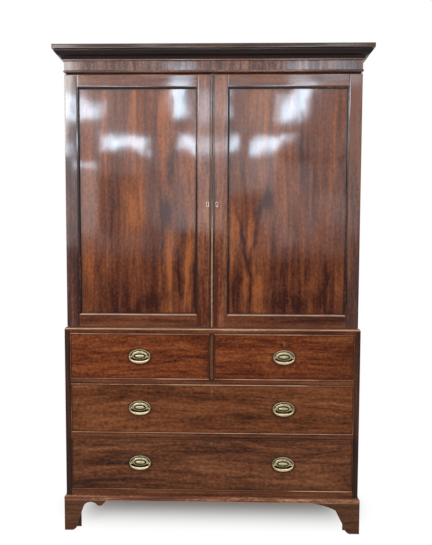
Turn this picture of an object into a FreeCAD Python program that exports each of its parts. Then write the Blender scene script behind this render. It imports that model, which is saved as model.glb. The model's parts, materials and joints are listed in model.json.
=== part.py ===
import FreeCAD, Part
import math
import os

# A two-part mahogany linen press.  A chest of two short and two long drawers stands on
# bracket feet, and a cupboard with two panelled doors and sliding linen trays stands on
# the chest, under a separate cornice.
#
# Frame: millimetres, X to the viewer's right, Y from front to back, Z up.  The origin is
# the centre of the whole outline on the floor.

V = FreeCAD.Vector

# ---- Heights, from the floor up ----
foot_height = 133.0
plinth_moulding_height = 20.5
bottom_rail_height = 46.0
long_lower_opening = 231.5
long_upper_opening = 215.5
short_opening = 199.0
rail_height = 18.5
top_rail_height = 12.0
waist_moulding_height = 11.5
upper_case_height = 1079.5
frieze_height = 47.5
cornice_height = 55.0

# ---- Widths and depths ----
chest_width = 1256.0
chest_side_thickness = 22.0
chest_step = 15.0              # chest front ahead of the doors
plinth_projection = 7.5
upper_inset = 8.0              # cupboard's side inside the chest's side
upper_side_thickness = 20.0
upper_case_depth = 534.0
upper_board_thickness = 20.0
upper_seat_clearance = 0.5     # cupboard inside the waist moulding
back_board_thickness = 10.0
back_rebate = 10.0
upper_back_board_count = 5
chest_back_board_count = 3
frieze_proud = 2.0             # frieze ahead of the doors
frieze_thickness = 28.0
frieze_bead_height = 9.0
frieze_bead_proud = 3.0
cornice_projection = 39.0      # cornice ahead of the frieze

# ---- Cornice section, heights above the frieze ----
cornice_fillet_height = 5.0
cornice_fillet_out = 5.0
ogee_foot_out = 6.0
ogee_top_out = 30.5
ogee_height = 23.5
ogee_sagitta = 2.4
cornice_bead_height = 5.5
cornice_bead_out = 32.0
cornice_groove_height = 3.5
cornice_groove_out = 29.5
cornice_arris = 2.5

# ---- Cornice frame ----
batten_thickness = 20.0
cross_batten_x = 300.0

# ---- Chest structure ----
rail_depth = 60.0
bottom_rail_thickness = 20.0
muntin_width = 16.0
dustboard_thickness = 10.0
bottom_board_thickness = 12.0
runner_width = 20.0
centre_runner_width = 56.0
guide_height = 14.0
stop_height = 4.5
stop_width = 40.0
stop_depth = 25.0
stop_inset = 120.0             # from a drawer's side to its stop
waist_nose_flat = 2.5
waist_top_land = 0.8
moulding_hollow = 1.6          # sink of the waist's and plinth's hollow curves
plinth_fascia_height = 13.0
plinth_top_land = 1.0

# ---- Feet: distances out from the corner, and drops below the moulding ----
bracket_thickness = 22.0
toe_round = 22.0
toe_round_height = 30.0
toe_round_belly = 5.0
cusped_toe = 36.0
cusped_width = 182.0
haunch_out = 83.0
haunch_drop = 24.0
haunch_hollow = 2.0
arch_out = 108.0
arch_drop = 8.5
arch_end_out = 138.0
arch_end_drop = 16.0
cusp_out = 155.0
cusp_drop = 24.0
cusp_end_out = 169.0
cusp_end_drop = 14.0
plain_toe = 44.0
plain_width = 206.0
knee_out = 103.0
knee_drop = 30.0
wing_hollow = 5.0
glue_block = 46.0
glue_block_short = 4.0
rear_bracket_width = 150.0
rear_bracket_toe = 60.0
rear_bracket_thickness = 20.0

# ---- Doors ----
door_thickness = 22.0
door_back_gap = 2.0            # between a door and the case front, in which the hinges close
door_bottom_gap = 1.5
door_top_gap = 8.0
stile_width = 52.5
door_rail_height = 50.0
opening_from_centre = 63.0
tenon_length = 30.0
tenon_thickness = 8.0
tenon_shoulder = 6.0
panel_recess = 9.0
panel_thickness = 7.0
panel_groove = 8.0
panel_play = 0.5
bead_width = 8.0
bead_land = 2.5
bead_sink = 1.0
bead_toe = 1.0                 # upright edge where the bead meets the panel
bead_round = 2.0
mitre_reach = 30.0             # mitre cuts run this far before and behind a strip's face
astragal_width = 19.0
astragal_thickness = 2.0
astragal_roll = 4.0
meeting_gap = 1.5

# ---- Hinges ----
hinge_height = 76.0
hinge_from_door_end = 120.0
hinges_per_door = 3
hinge_leaf_width = 18.0
hinge_leaf_thickness = 2.0
hinge_barrel_radius = 3.0
hinge_pin_radius = 1.3
hinge_bore_clearance = 0.15
hinge_axis_out = 0.5           # outside the case's side
hinge_relief = 0.4
knuckle_count = 5
knuckle_clearance = 0.2
hinge_screw_radius = 1.6
hinge_screw_length = 16.0
hinge_screws = 3
screw_head_radius = 3.2
screw_head_height = 1.0
screw_from_edge = 7.0

# ---- Keyholes and locks ----
drawer_key_circle_radius = 3.3
drawer_key_slot_width = 2.6
drawer_key_slot_drop = 9.5
drawer_escutcheon_wall = 1.3
door_key_circle_radius = 4.0
door_key_slot_width = 4.4
door_key_slot_drop = 13.0
door_escutcheon_wall = 2.0
escutcheon_depth = 3.0
dummy_keyhole_depth = 6.0
door_key_x = 19.4
door_key_height = 1412.6
short_key_drop = 37.0          # keyhole below the drawer opening's top
long_upper_key_drop = 28.5
long_lower_key_drop = 21.5
lock_width = 56.0
lock_below_key = 16.0
lock_depth = 9.0
bolt_width = 16.0
bolt_thickness = 5.0
bolt_length = 24.0
bolt_clearance = 0.2
bolt_travel = 8.0
bolt_end_play = 1.0
door_lock_height = 44.0
door_bolt_length = 34.0

# ---- Barrel bolts on the left door's back ----
barrel_bolt_x = -38.0
barrel_plate_width = 22.0
barrel_plate_height = 84.0
barrel_plate_thickness = 1.6
strap_width = 15.0
strap_depth = 11.0
strap_height = 14.0
bolt_rod_radius = 3.0
bolt_rod_clearance = 0.15
bolt_rod_back = 1.0            # rod end short of the case board when drawn
bolt_rod_travel = 11.0
bolt_knob_radius = 3.2
bolt_knob_reach = 8.0

# ---- Drawers ----
drawer_gap = 1.25
runner_clearance = 0.3
drawer_front_thickness = 20.0
cockbead_thickness = 4.0
cockbead_proud = 2.0
cockbead_depth = 8.0
drawer_side_thickness = 12.0
drawer_side_drop = 8.0         # sides below the front's top edge
drawer_bottom_thickness = 8.0
drawer_bottom_rise = 6.0
drawer_back_drop = 6.0
drawer_back_space = 20.0       # behind a closed drawer
tail_lap = 1.0                 # wood between the tails and the cockbead
tail_neck = 24.0
tail_flare = 4.0
tails_per_long_side = 4
tails_per_short_side = 4

# ---- Handles ----
plate_half_width = 46.0
plate_half_height = 31.0
plate_thickness = 1.2
plate_rim = 2.5
plate_ring_half_width = 29.0
plate_ring_half_height = 19.0
plate_ring_width = 4.0
plate_ring_height = 1.2
plate_boss_half_width = 19.0
plate_boss_half_height = 10.0
plate_boss_height = 1.6
post_spacing = 70.0
post_standoff = 7.5
post_head_radius = 3.8
post_neck_radius = 2.6
post_shank_radius = 2.4
post_nut_radius = 6.0
post_nut_thickness = 4.0
short_handle_rise = 0.0        # handle above the middle of its drawer front
long_upper_handle_rise = 3.25
long_lower_handle_rise = 5.25
bail_half_width = 42.0
bail_drop = 28.0
bail_radius = 2.6
bail_shoulder = 4.0
bail_corner_radius = 14.0
bail_pin_radius = 1.7
bail_pin_clearance = 0.12
bail_pin_inset = 5.0           # pin end inside the post's middle

# ---- Linen trays ----
tray_count = 4
tray_first_rise = 20.0
tray_pitch = 255.0
tray_setback = 50.0
tray_play = 1.5
tray_board = 12.0
tray_bottom_thickness = 8.0
tray_bottom_rise = 3.0
tray_side_height = 100.0
tray_front_height = 55.0
tray_front_flat = 60.0
tray_sweep = 70.0
tray_back_space = 8.0
tray_runner_width = 14.0
tray_runner_height = 16.0

# ---- Derived heights ----
chest_bottom_z = foot_height
long_lower_z = foot_height + bottom_rail_height
lower_rail_z = long_lower_z + long_lower_opening
long_upper_z = lower_rail_z + rail_height
upper_rail_z = long_upper_z + long_upper_opening
short_z = upper_rail_z + rail_height
top_rail_z = short_z + short_opening
chest_top_z = top_rail_z + top_rail_height
waist_top_z = chest_top_z + waist_moulding_height
upper_top_z = chest_top_z + upper_case_height
frieze_top_z = upper_top_z + frieze_height
cupboard_floor_z = chest_top_z + upper_board_thickness
cupboard_ceiling_z = upper_top_z - upper_board_thickness
door_bottom_z = waist_top_z + door_bottom_gap
door_top_z = upper_top_z - door_top_gap

# ---- Derived widths and depths ----
overall_depth = (upper_case_depth + door_back_gap + door_thickness
                 + frieze_proud + cornice_projection)
back_y = overall_depth / 2
case_front_y = back_y - upper_case_depth
door_back_y = case_front_y - door_back_gap
door_front_y = door_back_y - door_thickness
frieze_front_y = door_front_y - frieze_proud
chest_front_y = door_front_y - chest_step
back_boards_y = back_y - back_board_thickness
rail_back_y = chest_front_y + rail_depth
drawer_front_back_y = chest_front_y + drawer_front_thickness
drawer_back_y = back_boards_y - drawer_back_space
chest_half = chest_width / 2
upper_half = chest_half - upper_inset
upper_inner = upper_half - upper_side_thickness
chest_inner = chest_half - chest_side_thickness
plinth_half = chest_half + plinth_projection
plinth_front_y = chest_front_y - plinth_projection
hinge_axis_x = upper_half + hinge_axis_out
hinge_axis_y = (case_front_y + door_back_y) / 2
door_opening_bottom_z = door_bottom_z + door_rail_height
door_opening_top_z = door_top_z - door_rail_height
door_opening_outer = upper_half - stile_width
bolt_y = drawer_front_back_y - lock_depth / 2
door_bolt_y = door_back_y - lock_depth / 2
barrel_rod_y = door_back_y + barrel_plate_thickness + strap_depth / 2
post_y = chest_front_y - post_standoff
tray_front_y = case_front_y + tray_setback
tray_back_y = back_boards_y - tray_back_space

# ---- Keyhole sizes: circle radius, slot width, slot drop and wall of the brass lining ----
drawer_key = (drawer_key_circle_radius, drawer_key_slot_width, drawer_key_slot_drop,
              drawer_escutcheon_wall)
door_key = (door_key_circle_radius, door_key_slot_width, door_key_slot_drop,
            door_escutcheon_wall)


# ---- Building blocks ----
def box(x0, x1, y0, y1, z0, z1):
    """A block between two corners."""
    return Part.makeBox(x1 - x0, y1 - y0, z1 - z0, V(x0, y0, z0))


def rod(start, direction, radius, length):
    """A round bar from a point along a direction."""
    return Part.makeCylinder(radius, length, start, direction)


def mirrored(shape):
    """The same shape on the other side of the middle plane."""
    return shape.mirror(V(0, 0, 0), V(1, 0, 0))


def outline(place, start, steps):
    """A flat face.  A step is a point, or a point on an arc with the arc's end."""
    edges = []
    here = start
    for step in steps:
        if isinstance(step[0], tuple):
            middle, end = step
            edges.append(Part.Arc(place(*here), place(*middle), place(*end)).toShape())
        else:
            end = step
            edges.append(Part.makeLine(place(*here), place(*end)))
        here = end
    edges.append(Part.makeLine(place(*here), place(*start)))
    return Part.Face(Part.Wire(edges))


def bulge(start, end, sagitta):
    """An arc step whose middle stands off its chord, to the left when sagitta is positive."""
    run, rise = end[0] - start[0], end[1] - start[1]
    chord = math.hypot(run, rise)
    middle = ((start[0] + end[0]) / 2 - rise / chord * sagitta,
              (start[1] + end[1]) / 2 + run / chord * sagitta)
    return (middle, end)


def plan_prism(corners, z0, z1):
    """An upright block on a polygon seen from above."""
    def place(x, y):
        return V(x, y, z0)
    return outline(place, corners[0], corners[1:]).extrude(V(0, 0, z1 - z0))


def front_prism(corners, y0, y1):
    """A block on a polygon seen from the front."""
    def place(x, z):
        return V(x, y0, z)
    return outline(place, corners[0], corners[1:]).extrude(V(0, y1 - y0, 0))


def three_sides(section, half_width, face_y, base_z, height, reach, back_depth):
    """One moulding along the front and both sides, mitred at the front corners.

    The section is given outwards from the face and upwards from base_z.
    """
    start, steps = section
    outer, inner = half_width + reach, half_width - back_depth
    outer_y, inner_y = face_y - reach, face_y + back_depth

    def on_front(out, up):
        return V(-outer, face_y - out, base_z + up)

    def on_side(out, up):
        return V(half_width + out, outer_y, base_z + up)

    front_plan = [(-outer, outer_y), (outer, outer_y), (inner, inner_y), (-inner, inner_y)]
    side_plan = [(outer, outer_y), (outer, back_y), (inner, back_y), (inner, inner_y)]
    z0, z1 = base_z - 1, base_z + height + 1
    front = outline(on_front, start, steps).extrude(V(2 * outer, 0, 0))
    side = outline(on_side, start, steps).extrude(V(0, back_y - outer_y, 0))
    front = front.common(plan_prism(front_plan, z0, z1))
    side = side.common(plan_prism(side_plan, z0, z1))
    return [front, side, mirrored(side)]


def frame_strips(section, x0, x1, z0, z1, face_y, width):
    """Four mitred strips inside a rectangle seen from the front.

    The section is given inwards from the rectangle and backwards from face_y.
    """
    start, steps = section
    wide, tall = x1 - x0, z1 - z0
    inner = [(x0 + width, z0 + width), (x1 - width, z0 + width),
             (x1 - width, z1 - width), (x0 + width, z1 - width)]
    outer = [(x0, z0), (x1, z0), (x1, z1), (x0, z1)]

    def on_bottom(inwards, back):
        return V(x0, face_y + back, z0 + inwards)

    def on_right(inwards, back):
        return V(x1 - inwards, face_y + back, z0)

    def on_top(inwards, back):
        return V(x0, face_y + back, z1 - inwards)

    def on_left(inwards, back):
        return V(x0 + inwards, face_y + back, z0)

    runs = ((on_bottom, V(wide, 0, 0)), (on_right, V(0, 0, tall)),
            (on_top, V(wide, 0, 0)), (on_left, V(0, 0, tall)))
    strips = []
    for index, (place, run) in enumerate(runs):
        after = (index + 1) % 4
        ends = [outer[index], outer[after], inner[after], inner[index]]
        bar = outline(place, start, steps).extrude(run)
        strips.append(bar.common(front_prism(ends, face_y - mitre_reach, face_y + mitre_reach)))
    return strips


def save(name, shapes):
    """Write one node."""
    shape = shapes[0] if len(shapes) == 1 else Part.makeCompound(shapes)
    shape.exportStep("parts/" + name + ".step")


# ---- Cornice and frieze ----
def make_cornice():
    bead_z = cornice_fillet_height + ogee_height
    groove_z = bead_z + cornice_bead_height
    fillet_z = groove_z + cornice_groove_height
    ogee_middle = ((ogee_foot_out + ogee_top_out) / 2, cornice_fillet_height + ogee_height / 2)
    ogee_foot = (ogee_foot_out, cornice_fillet_height)
    ogee_top = (ogee_top_out, bead_z)
    bead_middle = (cornice_bead_out + 1, bead_z + cornice_bead_height / 2)
    steps = [(cornice_fillet_out, 0), (cornice_fillet_out, cornice_fillet_height), ogee_foot,
             bulge(ogee_foot, ogee_middle, ogee_sagitta),
             bulge(ogee_middle, ogee_top, -ogee_sagitta),
             (cornice_bead_out, bead_z), (bead_middle, (cornice_bead_out, groove_z)),
             (cornice_groove_out, groove_z), (cornice_groove_out, fillet_z),
             (cornice_projection, fillet_z),
             (cornice_projection, cornice_height - cornice_arris),
             (cornice_projection - cornice_arris, cornice_height),
             (-frieze_thickness, cornice_height)]
    section = ((-frieze_thickness, 0), steps)
    save("cornice_moulding", three_sides(section, upper_half, frieze_front_y, frieze_top_z,
                                         cornice_height, cornice_projection, frieze_thickness))

    inner_front_y = frieze_front_y + frieze_thickness
    inner_half = upper_half - frieze_thickness
    batten_y = inner_front_y + batten_thickness
    rear_y = back_y - batten_thickness
    battens = [box(-inner_half, inner_half, inner_front_y, batten_y, upper_top_z, frieze_top_z),
               box(-inner_half, inner_half, rear_y, back_y, upper_top_z, frieze_top_z)]
    for x in (-cross_batten_x, cross_batten_x):
        battens.append(box(x - batten_thickness / 2, x + batten_thickness / 2,
                           batten_y, rear_y, upper_top_z, frieze_top_z))
    save("cornice_frame", battens)


def make_frieze():
    board = ((-frieze_thickness, 0), [(0, 0), (0, frieze_height),
                                      (-frieze_thickness, frieze_height)])
    bead = ((0, 0), [((frieze_bead_proud, frieze_bead_height / 2), (0, frieze_bead_height))])
    boards = three_sides(board, upper_half, frieze_front_y, upper_top_z,
                         frieze_height, 0, frieze_thickness)
    beads = three_sides(bead, upper_half, frieze_front_y, upper_top_z,
                        frieze_bead_height, frieze_bead_proud, 0)
    save("frieze", boards + beads)


# ---- Hinges ----
def hinge_bottoms():
    """Heights of the lower ends of one door's hinges."""
    first = door_bottom_z + hinge_from_door_end
    last = door_top_z - hinge_from_door_end - hinge_height
    step = (last - first) / (hinges_per_door - 1)
    return [first + step * index for index in range(hinges_per_door)]


def hinge_relief_cut(bottom_z):
    """Wood taken away round a hinge's barrel."""
    return rod(V(hinge_axis_x, hinge_axis_y, bottom_z - hinge_relief), V(0, 0, 1),
               hinge_barrel_radius + hinge_relief, hinge_height + 2 * hinge_relief)


def hinge_leaf_span(on_door):
    """Front and back faces of a leaf: it lies flush in the door's back or the case's front."""
    if on_door:
        return door_back_y - hinge_leaf_thickness, door_back_y
    return case_front_y, case_front_y + hinge_leaf_thickness


def hinge_screw_solids(bottom_z, on_door):
    """The screws that hold one leaf: a flat head in the leaf and a shank in the wood."""
    y0, y1 = hinge_leaf_span(on_door)
    outer_y = y1 if on_door else y0
    way = V(0, -1, 0) if on_door else V(0, 1, 0)
    x = upper_half - hinge_leaf_width + screw_from_edge
    solids = []
    for index in range(hinge_screws):
        z = bottom_z + hinge_height * (index + 0.5) / hinge_screws
        head = rod(V(x, outer_y, z), way, screw_head_radius, screw_head_height)
        shank = rod(V(x, outer_y, z), way, hinge_screw_radius, hinge_screw_length)
        solids.append(head.fuse(shank).removeSplitter())
    return solids


def hinge_leaf(bottom_z, on_door):
    """One leaf with its own knuckles; the case leaf has the end knuckles."""
    y0, y1 = hinge_leaf_span(on_door)
    leaf = box(upper_half - hinge_leaf_width, hinge_axis_x, y0, y1,
               bottom_z, bottom_z + hinge_height)
    pitch = hinge_height / knuckle_count
    bore = hinge_pin_radius + (hinge_bore_clearance if on_door else 0)
    for index in range(knuckle_count):
        z = bottom_z + pitch * index
        own = (index % 2 == 1) == on_door
        if own:
            start = V(hinge_axis_x, hinge_axis_y, z + knuckle_clearance / 2)
            leaf = leaf.fuse(rod(start, V(0, 0, 1), hinge_barrel_radius,
                                 pitch - knuckle_clearance))
        else:
            start = V(hinge_axis_x, hinge_axis_y, z)
            leaf = leaf.cut(rod(start, V(0, 0, 1), hinge_barrel_radius + hinge_relief, pitch))
    start = V(hinge_axis_x, hinge_axis_y, bottom_z)
    leaf = leaf.cut(rod(start, V(0, 0, 1), bore, hinge_height))
    for screw in hinge_screw_solids(bottom_z, on_door):
        leaf = leaf.cut(screw)
    return leaf


def hinge_recesses(bottom_z, on_door):
    """Everything cut from the wood for one leaf."""
    y0, y1 = hinge_leaf_span(on_door)
    seat = box(upper_half - hinge_leaf_width, upper_half + 1, y0, y1,
               bottom_z, bottom_z + hinge_height)
    return [seat, hinge_relief_cut(bottom_z)] + hinge_screw_solids(bottom_z, on_door)


def make_case_hinges():
    solids = []
    for bottom_z in hinge_bottoms():
        pin = rod(V(hinge_axis_x, hinge_axis_y, bottom_z), V(0, 0, 1),
                  hinge_pin_radius, hinge_height)
        solids += [hinge_leaf(bottom_z, False), pin] + hinge_screw_solids(bottom_z, False)
    save("hinge_leaves_case", solids + [mirrored(solid) for solid in solids])


# ---- Upper case ----
def barrel_bolt_socket(z0):
    """The hole in a case board that a drawn-out barrel bolt enters."""
    return rod(V(barrel_bolt_x, barrel_rod_y, z0), V(0, 0, 1),
               bolt_rod_radius + bolt_rod_clearance, bolt_rod_travel)


def upright_boards(count, half_width, z0, z1):
    """Back boards side by side."""
    width = 2 * half_width / count
    return [box(-half_width + width * index, -half_width + width * (index + 1),
                back_boards_y, back_y, z0, z1) for index in range(count)]


def make_upper_case():
    side = box(upper_inner, upper_half, case_front_y, back_y, chest_top_z, upper_top_z)
    side = side.cut(box(upper_inner, upper_inner + back_rebate, back_boards_y, back_y,
                        chest_top_z, upper_top_z))
    for bottom_z in hinge_bottoms():
        for recess in hinge_recesses(bottom_z, False):
            side = side.cut(recess)
    save("upper_side_right", [side])
    save("upper_side_left", [mirrored(side)])

    top = box(-upper_inner, upper_inner, case_front_y, back_boards_y,
              cupboard_ceiling_z, upper_top_z)
    save("upper_top_board", [top.cut(barrel_bolt_socket(cupboard_ceiling_z))])
    bottom = box(-upper_inner, upper_inner, case_front_y, back_boards_y,
                 chest_top_z, cupboard_floor_z)
    socket = barrel_bolt_socket(cupboard_floor_z - bolt_rod_travel)
    save("upper_bottom_board", [bottom.cut(socket)])
    save("upper_back_boards", upright_boards(upper_back_board_count, upper_inner + back_rebate,
                                             chest_top_z, upper_top_z))


# ---- Linen trays ----
def tray_base(index):
    """Height of the top of a tray's runners."""
    return cupboard_floor_z + tray_first_rise + tray_pitch * index


def make_tray_runners():
    strips = []
    for index in range(tray_count):
        z = tray_base(index)
        strip = box(upper_inner - tray_runner_width, upper_inner, tray_front_y, tray_back_y,
                    z - tray_runner_height, z)
        strips += [strip, mirrored(strip)]
    save("tray_runners", strips)


def make_tray(index):
    """A shallow open tray with a low front and sides that sweep up behind it."""
    z = tray_base(index) + runner_clearance
    half = upper_inner - tray_play
    low_z, high_z = z + tray_front_height, z + tray_side_height
    sweep_y = tray_front_y + tray_front_flat
    sweep_end = (sweep_y + tray_sweep, high_z)
    sweep_middle = (sweep_y + tray_sweep / 2, (low_z + high_z) / 2)
    flat_end = (sweep_y, low_z)

    def on_side(y, height):
        return V(half - tray_board, y, height)

    steps = [(tray_back_y, z), (tray_back_y, high_z), sweep_end,
             bulge(sweep_end, sweep_middle, -tray_board / 2),
             bulge(sweep_middle, flat_end, tray_board / 2),
             (tray_front_y, low_z)]
    side = outline(on_side, (tray_front_y, z), steps).extrude(V(tray_board, 0, 0))
    inner = half - tray_board
    bottom_z = z + tray_bottom_rise
    bottom_top = bottom_z + tray_bottom_thickness
    front = box(-inner, inner, tray_front_y, tray_front_y + tray_board, z, low_z)
    bottom = box(-inner, inner, tray_front_y + tray_board, tray_back_y, bottom_z, bottom_top)
    back = box(-inner, inner, tray_back_y - tray_board, tray_back_y, bottom_top, high_z)
    save("tray_%d" % (index + 1), [side, mirrored(side), front, bottom, back])


# ---- Doors ----
def keyhole(key, x, front_y, z, depth, wall):
    """A round hole with a slot below it, cut from the front and grown by a wall."""
    circle_radius, slot_width, slot_drop, _ = key
    half = slot_width / 2 + wall
    hole = rod(V(x, front_y, z), V(0, 1, 0), circle_radius + wall, depth)
    slot = box(x - half, x + half, front_y, front_y + depth, z - slot_drop - wall, z)
    return hole.fuse(slot).removeSplitter()


def key_opening(key, x, front_y, z, depth):
    return keyhole(key, x, front_y, z, depth, 0)


def key_surround(key, x, front_y, z):
    """The outside of the brass lining of a keyhole."""
    return keyhole(key, x, front_y, z, escutcheon_depth, key[3])


def escutcheon(key, x, front_y, z):
    return key_surround(key, x, front_y, z).cut(key_opening(key, x, front_y, z,
                                                            escutcheon_depth))


def make_door(side, meeting_edge):
    """Frame, panel and bead of one door, laid out as the right-hand one."""
    def place(shape):
        return mirrored(shape) if side == "left" else shape

    centre_edge, outer_edge = opening_from_centre, door_opening_outer
    y0, y1 = door_front_y, door_back_y
    z0, z1 = door_bottom_z, door_top_z
    inner_z0, inner_z1 = door_opening_bottom_z, door_opening_top_z
    tenon_y = y0 + panel_recess
    meeting_stile = box(meeting_edge, centre_edge, y0, y1, z0, z1)
    hinge_stile = box(outer_edge, upper_half, y0, y1, z0, z1)

    def rail(rail_z0, rail_z1):
        body = box(centre_edge, outer_edge, y0, y1, rail_z0, rail_z1)
        tenon = box(centre_edge - tenon_length, outer_edge + tenon_length,
                    tenon_y, tenon_y + tenon_thickness,
                    rail_z0 + tenon_shoulder, rail_z1 - tenon_shoulder)
        return body.fuse(tenon).removeSplitter()

    rails = [rail(z0, inner_z0), rail(inner_z1, z1)]
    panel_y = y0 + panel_recess
    groove = box(centre_edge - panel_groove, outer_edge + panel_groove,
                 panel_y, panel_y + panel_thickness,
                 inner_z0 - panel_groove, inner_z1 + panel_groove)
    for each in rails:
        meeting_stile = meeting_stile.cut(each)
        hinge_stile = hinge_stile.cut(each)
    members = [meeting_stile, hinge_stile] + rails
    members = [member.cut(groove) for member in members]

    for bottom_z in hinge_bottoms():
        for recess in hinge_recesses(bottom_z, True):
            members[1] = members[1].cut(recess)
    if side == "right":
        members[0] = members[0].cut(key_opening(door_key, door_key_x, y0, door_key_height,
                                                door_thickness))
        members[0] = members[0].cut(door_lock_space())
    else:
        members[0] = members[0].cut(key_opening(door_key, door_key_x, y0, door_key_height,
                                                dummy_keyhole_depth))
        members[0] = members[0].cut(mirrored(door_bolt_mortise()))
    members[0] = members[0].cut(key_surround(door_key, door_key_x, y0, door_key_height))
    save("door_%s_frame" % side, [place(member) for member in members])

    margin = panel_groove - panel_play
    panel = box(centre_edge - margin, outer_edge + margin, panel_y, panel_y + panel_thickness,
                inner_z0 - margin, inner_z1 + margin)
    save("door_%s_panel" % side, [place(panel)])

    land = (bead_land, bead_sink)
    bead = ((0, panel_recess), [(0, bead_sink), land,
                                bulge(land, (bead_width, panel_recess - bead_toe), -bead_round),
                                (bead_width, panel_recess)])
    strips = frame_strips(bead, centre_edge, outer_edge, inner_z0, inner_z1, y0, bead_width)
    save("door_%s_bead" % side, [place(strip) for strip in strips])


def door_lock_span():
    """Left and right ends of the door lock, from the right door's meeting edge."""
    edge = -astragal_width / 2
    return edge, edge + lock_width


def door_lock_space():
    x0, x1 = door_lock_span()
    return box(x0, x1, door_back_y - lock_depth, door_back_y,
               door_key_height - door_lock_height / 2, door_key_height + door_lock_height / 2)


def door_bolt_shape(clearance, x0, x1):
    half_y = bolt_thickness / 2 + clearance
    half_z = bolt_width / 2 + clearance
    return box(x0, x1, door_bolt_y - half_y, door_bolt_y + half_y,
               door_key_height - half_z, door_key_height + half_z)


def door_bolt_mortise():
    """The slot in the left door's edge that the lock bolt enters."""
    edge = -astragal_width / 2 - meeting_gap
    return door_bolt_shape(bolt_clearance, edge - bolt_travel, edge)


def make_door_lock():
    x0, x1 = door_lock_span()
    rest_x = x0 + bolt_clearance
    channel = door_bolt_shape(bolt_clearance, x0, rest_x + door_bolt_length + bolt_end_play)
    case = door_lock_space().cut(channel)
    case = case.cut(key_opening(door_key, door_key_x, door_back_y - lock_depth,
                                door_key_height, lock_depth / 2))
    save("door_lock_bolt", [door_bolt_shape(0, rest_x, rest_x + door_bolt_length)])
    return case


def make_astragal():
    half, roll = astragal_width / 2, astragal_roll
    base = astragal_thickness

    def place(x, out):
        return V(x, door_front_y - out, door_bottom_z)

    steps = [(-half, base), (-roll, base), ((0, base + roll), (roll, base)),
             (half, base), (half, 0)]
    strip = outline(place, (-half, 0), steps).extrude(V(0, 0, door_top_z - door_bottom_z))
    save("door_astragal", [strip])


def barrel_bolt(top, end_z):
    """Plate with two straps, and the rod with its knob, for a bolt that ends at end_z."""
    way = -1 if top else 1
    x = barrel_bolt_x
    near, far = end_z + way, end_z + way * (barrel_plate_height + 1)
    z0, z1 = min(near, far), max(near, far)
    plate = box(x - barrel_plate_width / 2, x + barrel_plate_width / 2,
                door_back_y, door_back_y + barrel_plate_thickness, z0, z1)
    strap_y = door_back_y + barrel_plate_thickness
    for start in (z0, z1 - strap_height):
        plate = plate.fuse(box(x - strap_width / 2, x + strap_width / 2,
                               strap_y, strap_y + strap_depth, start, start + strap_height))
    bore = rod(V(x, barrel_rod_y, z0), V(0, 0, 1), bolt_rod_radius + bolt_rod_clearance,
               z1 - z0)
    plate = plate.cut(bore).removeSplitter()
    bolt = rod(V(x, barrel_rod_y, end_z + way * bolt_rod_back), V(0, 0, way),
               bolt_rod_radius, barrel_plate_height)
    knob_z = end_z + way * (barrel_plate_height + 1 - strap_height - 2 * bolt_knob_radius)
    knob = rod(V(x, barrel_rod_y, knob_z), V(0, 1, 0), bolt_knob_radius, bolt_knob_reach)
    return plate, bolt.fuse(knob).removeSplitter()


def make_doors():
    make_door("right", -astragal_width / 2)
    make_door("left", astragal_width / 2 + meeting_gap)
    make_astragal()

    leaves = []
    for bottom_z in hinge_bottoms():
        leaves += [hinge_leaf(bottom_z, True)] + hinge_screw_solids(bottom_z, True)
    leaves.append(escutcheon(door_key, door_key_x, door_front_y, door_key_height))
    top_plate, top_bolt = barrel_bolt(True, cupboard_ceiling_z)
    bottom_plate, bottom_bolt = barrel_bolt(False, cupboard_floor_z)
    save("door_right_brassware", leaves + [make_door_lock()])
    save("door_left_brassware", [mirrored(leaf) for leaf in leaves] + [top_plate, bottom_plate])
    save("door_bolt_top", [top_bolt])
    save("door_bolt_bottom", [bottom_bolt])


# ---- Chest ----
def bolt_mortise(x, rail_z):
    """The slot in the underside of a rail that a drawer lock's bolt enters."""
    half_x = bolt_width / 2 + bolt_clearance
    half_y = bolt_thickness / 2 + bolt_clearance
    return box(x - half_x, x + half_x, bolt_y - half_y, bolt_y + half_y,
               rail_z, rail_z + bolt_travel)


def drawer_centre():
    """Middle of a short drawer, and of the handles below it."""
    return (muntin_width / 2 + chest_inner) / 2


def make_chest_case():
    side = box(chest_inner, chest_half, chest_front_y, back_y, chest_bottom_z, chest_top_z)
    side = side.cut(box(chest_inner, chest_inner + back_rebate, back_boards_y, back_y,
                        chest_bottom_z, chest_top_z))
    save("chest_side_right", [side])
    save("chest_side_left", [mirrored(side)])
    save("chest_top_board", [box(-chest_inner, chest_inner, rail_back_y, back_boards_y,
                                 top_rail_z, chest_top_z)])
    height = (chest_top_z - chest_bottom_z) / chest_back_board_count
    half = chest_inner + back_rebate
    boards = [box(-half, half, back_boards_y, back_y, chest_bottom_z + height * index,
                  chest_bottom_z + height * (index + 1))
              for index in range(chest_back_board_count)]
    save("chest_back_boards", boards)


def drawer_stops(x0, x1, floor_z):
    """Two low blocks that a closed drawer's front meets."""
    blocks = []
    for x in (x0 + stop_inset, x1 - stop_inset):
        blocks.append(box(x - stop_width / 2, x + stop_width / 2, drawer_front_back_y,
                          drawer_front_back_y + stop_depth, floor_z, floor_z + stop_height))
    return blocks


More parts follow.
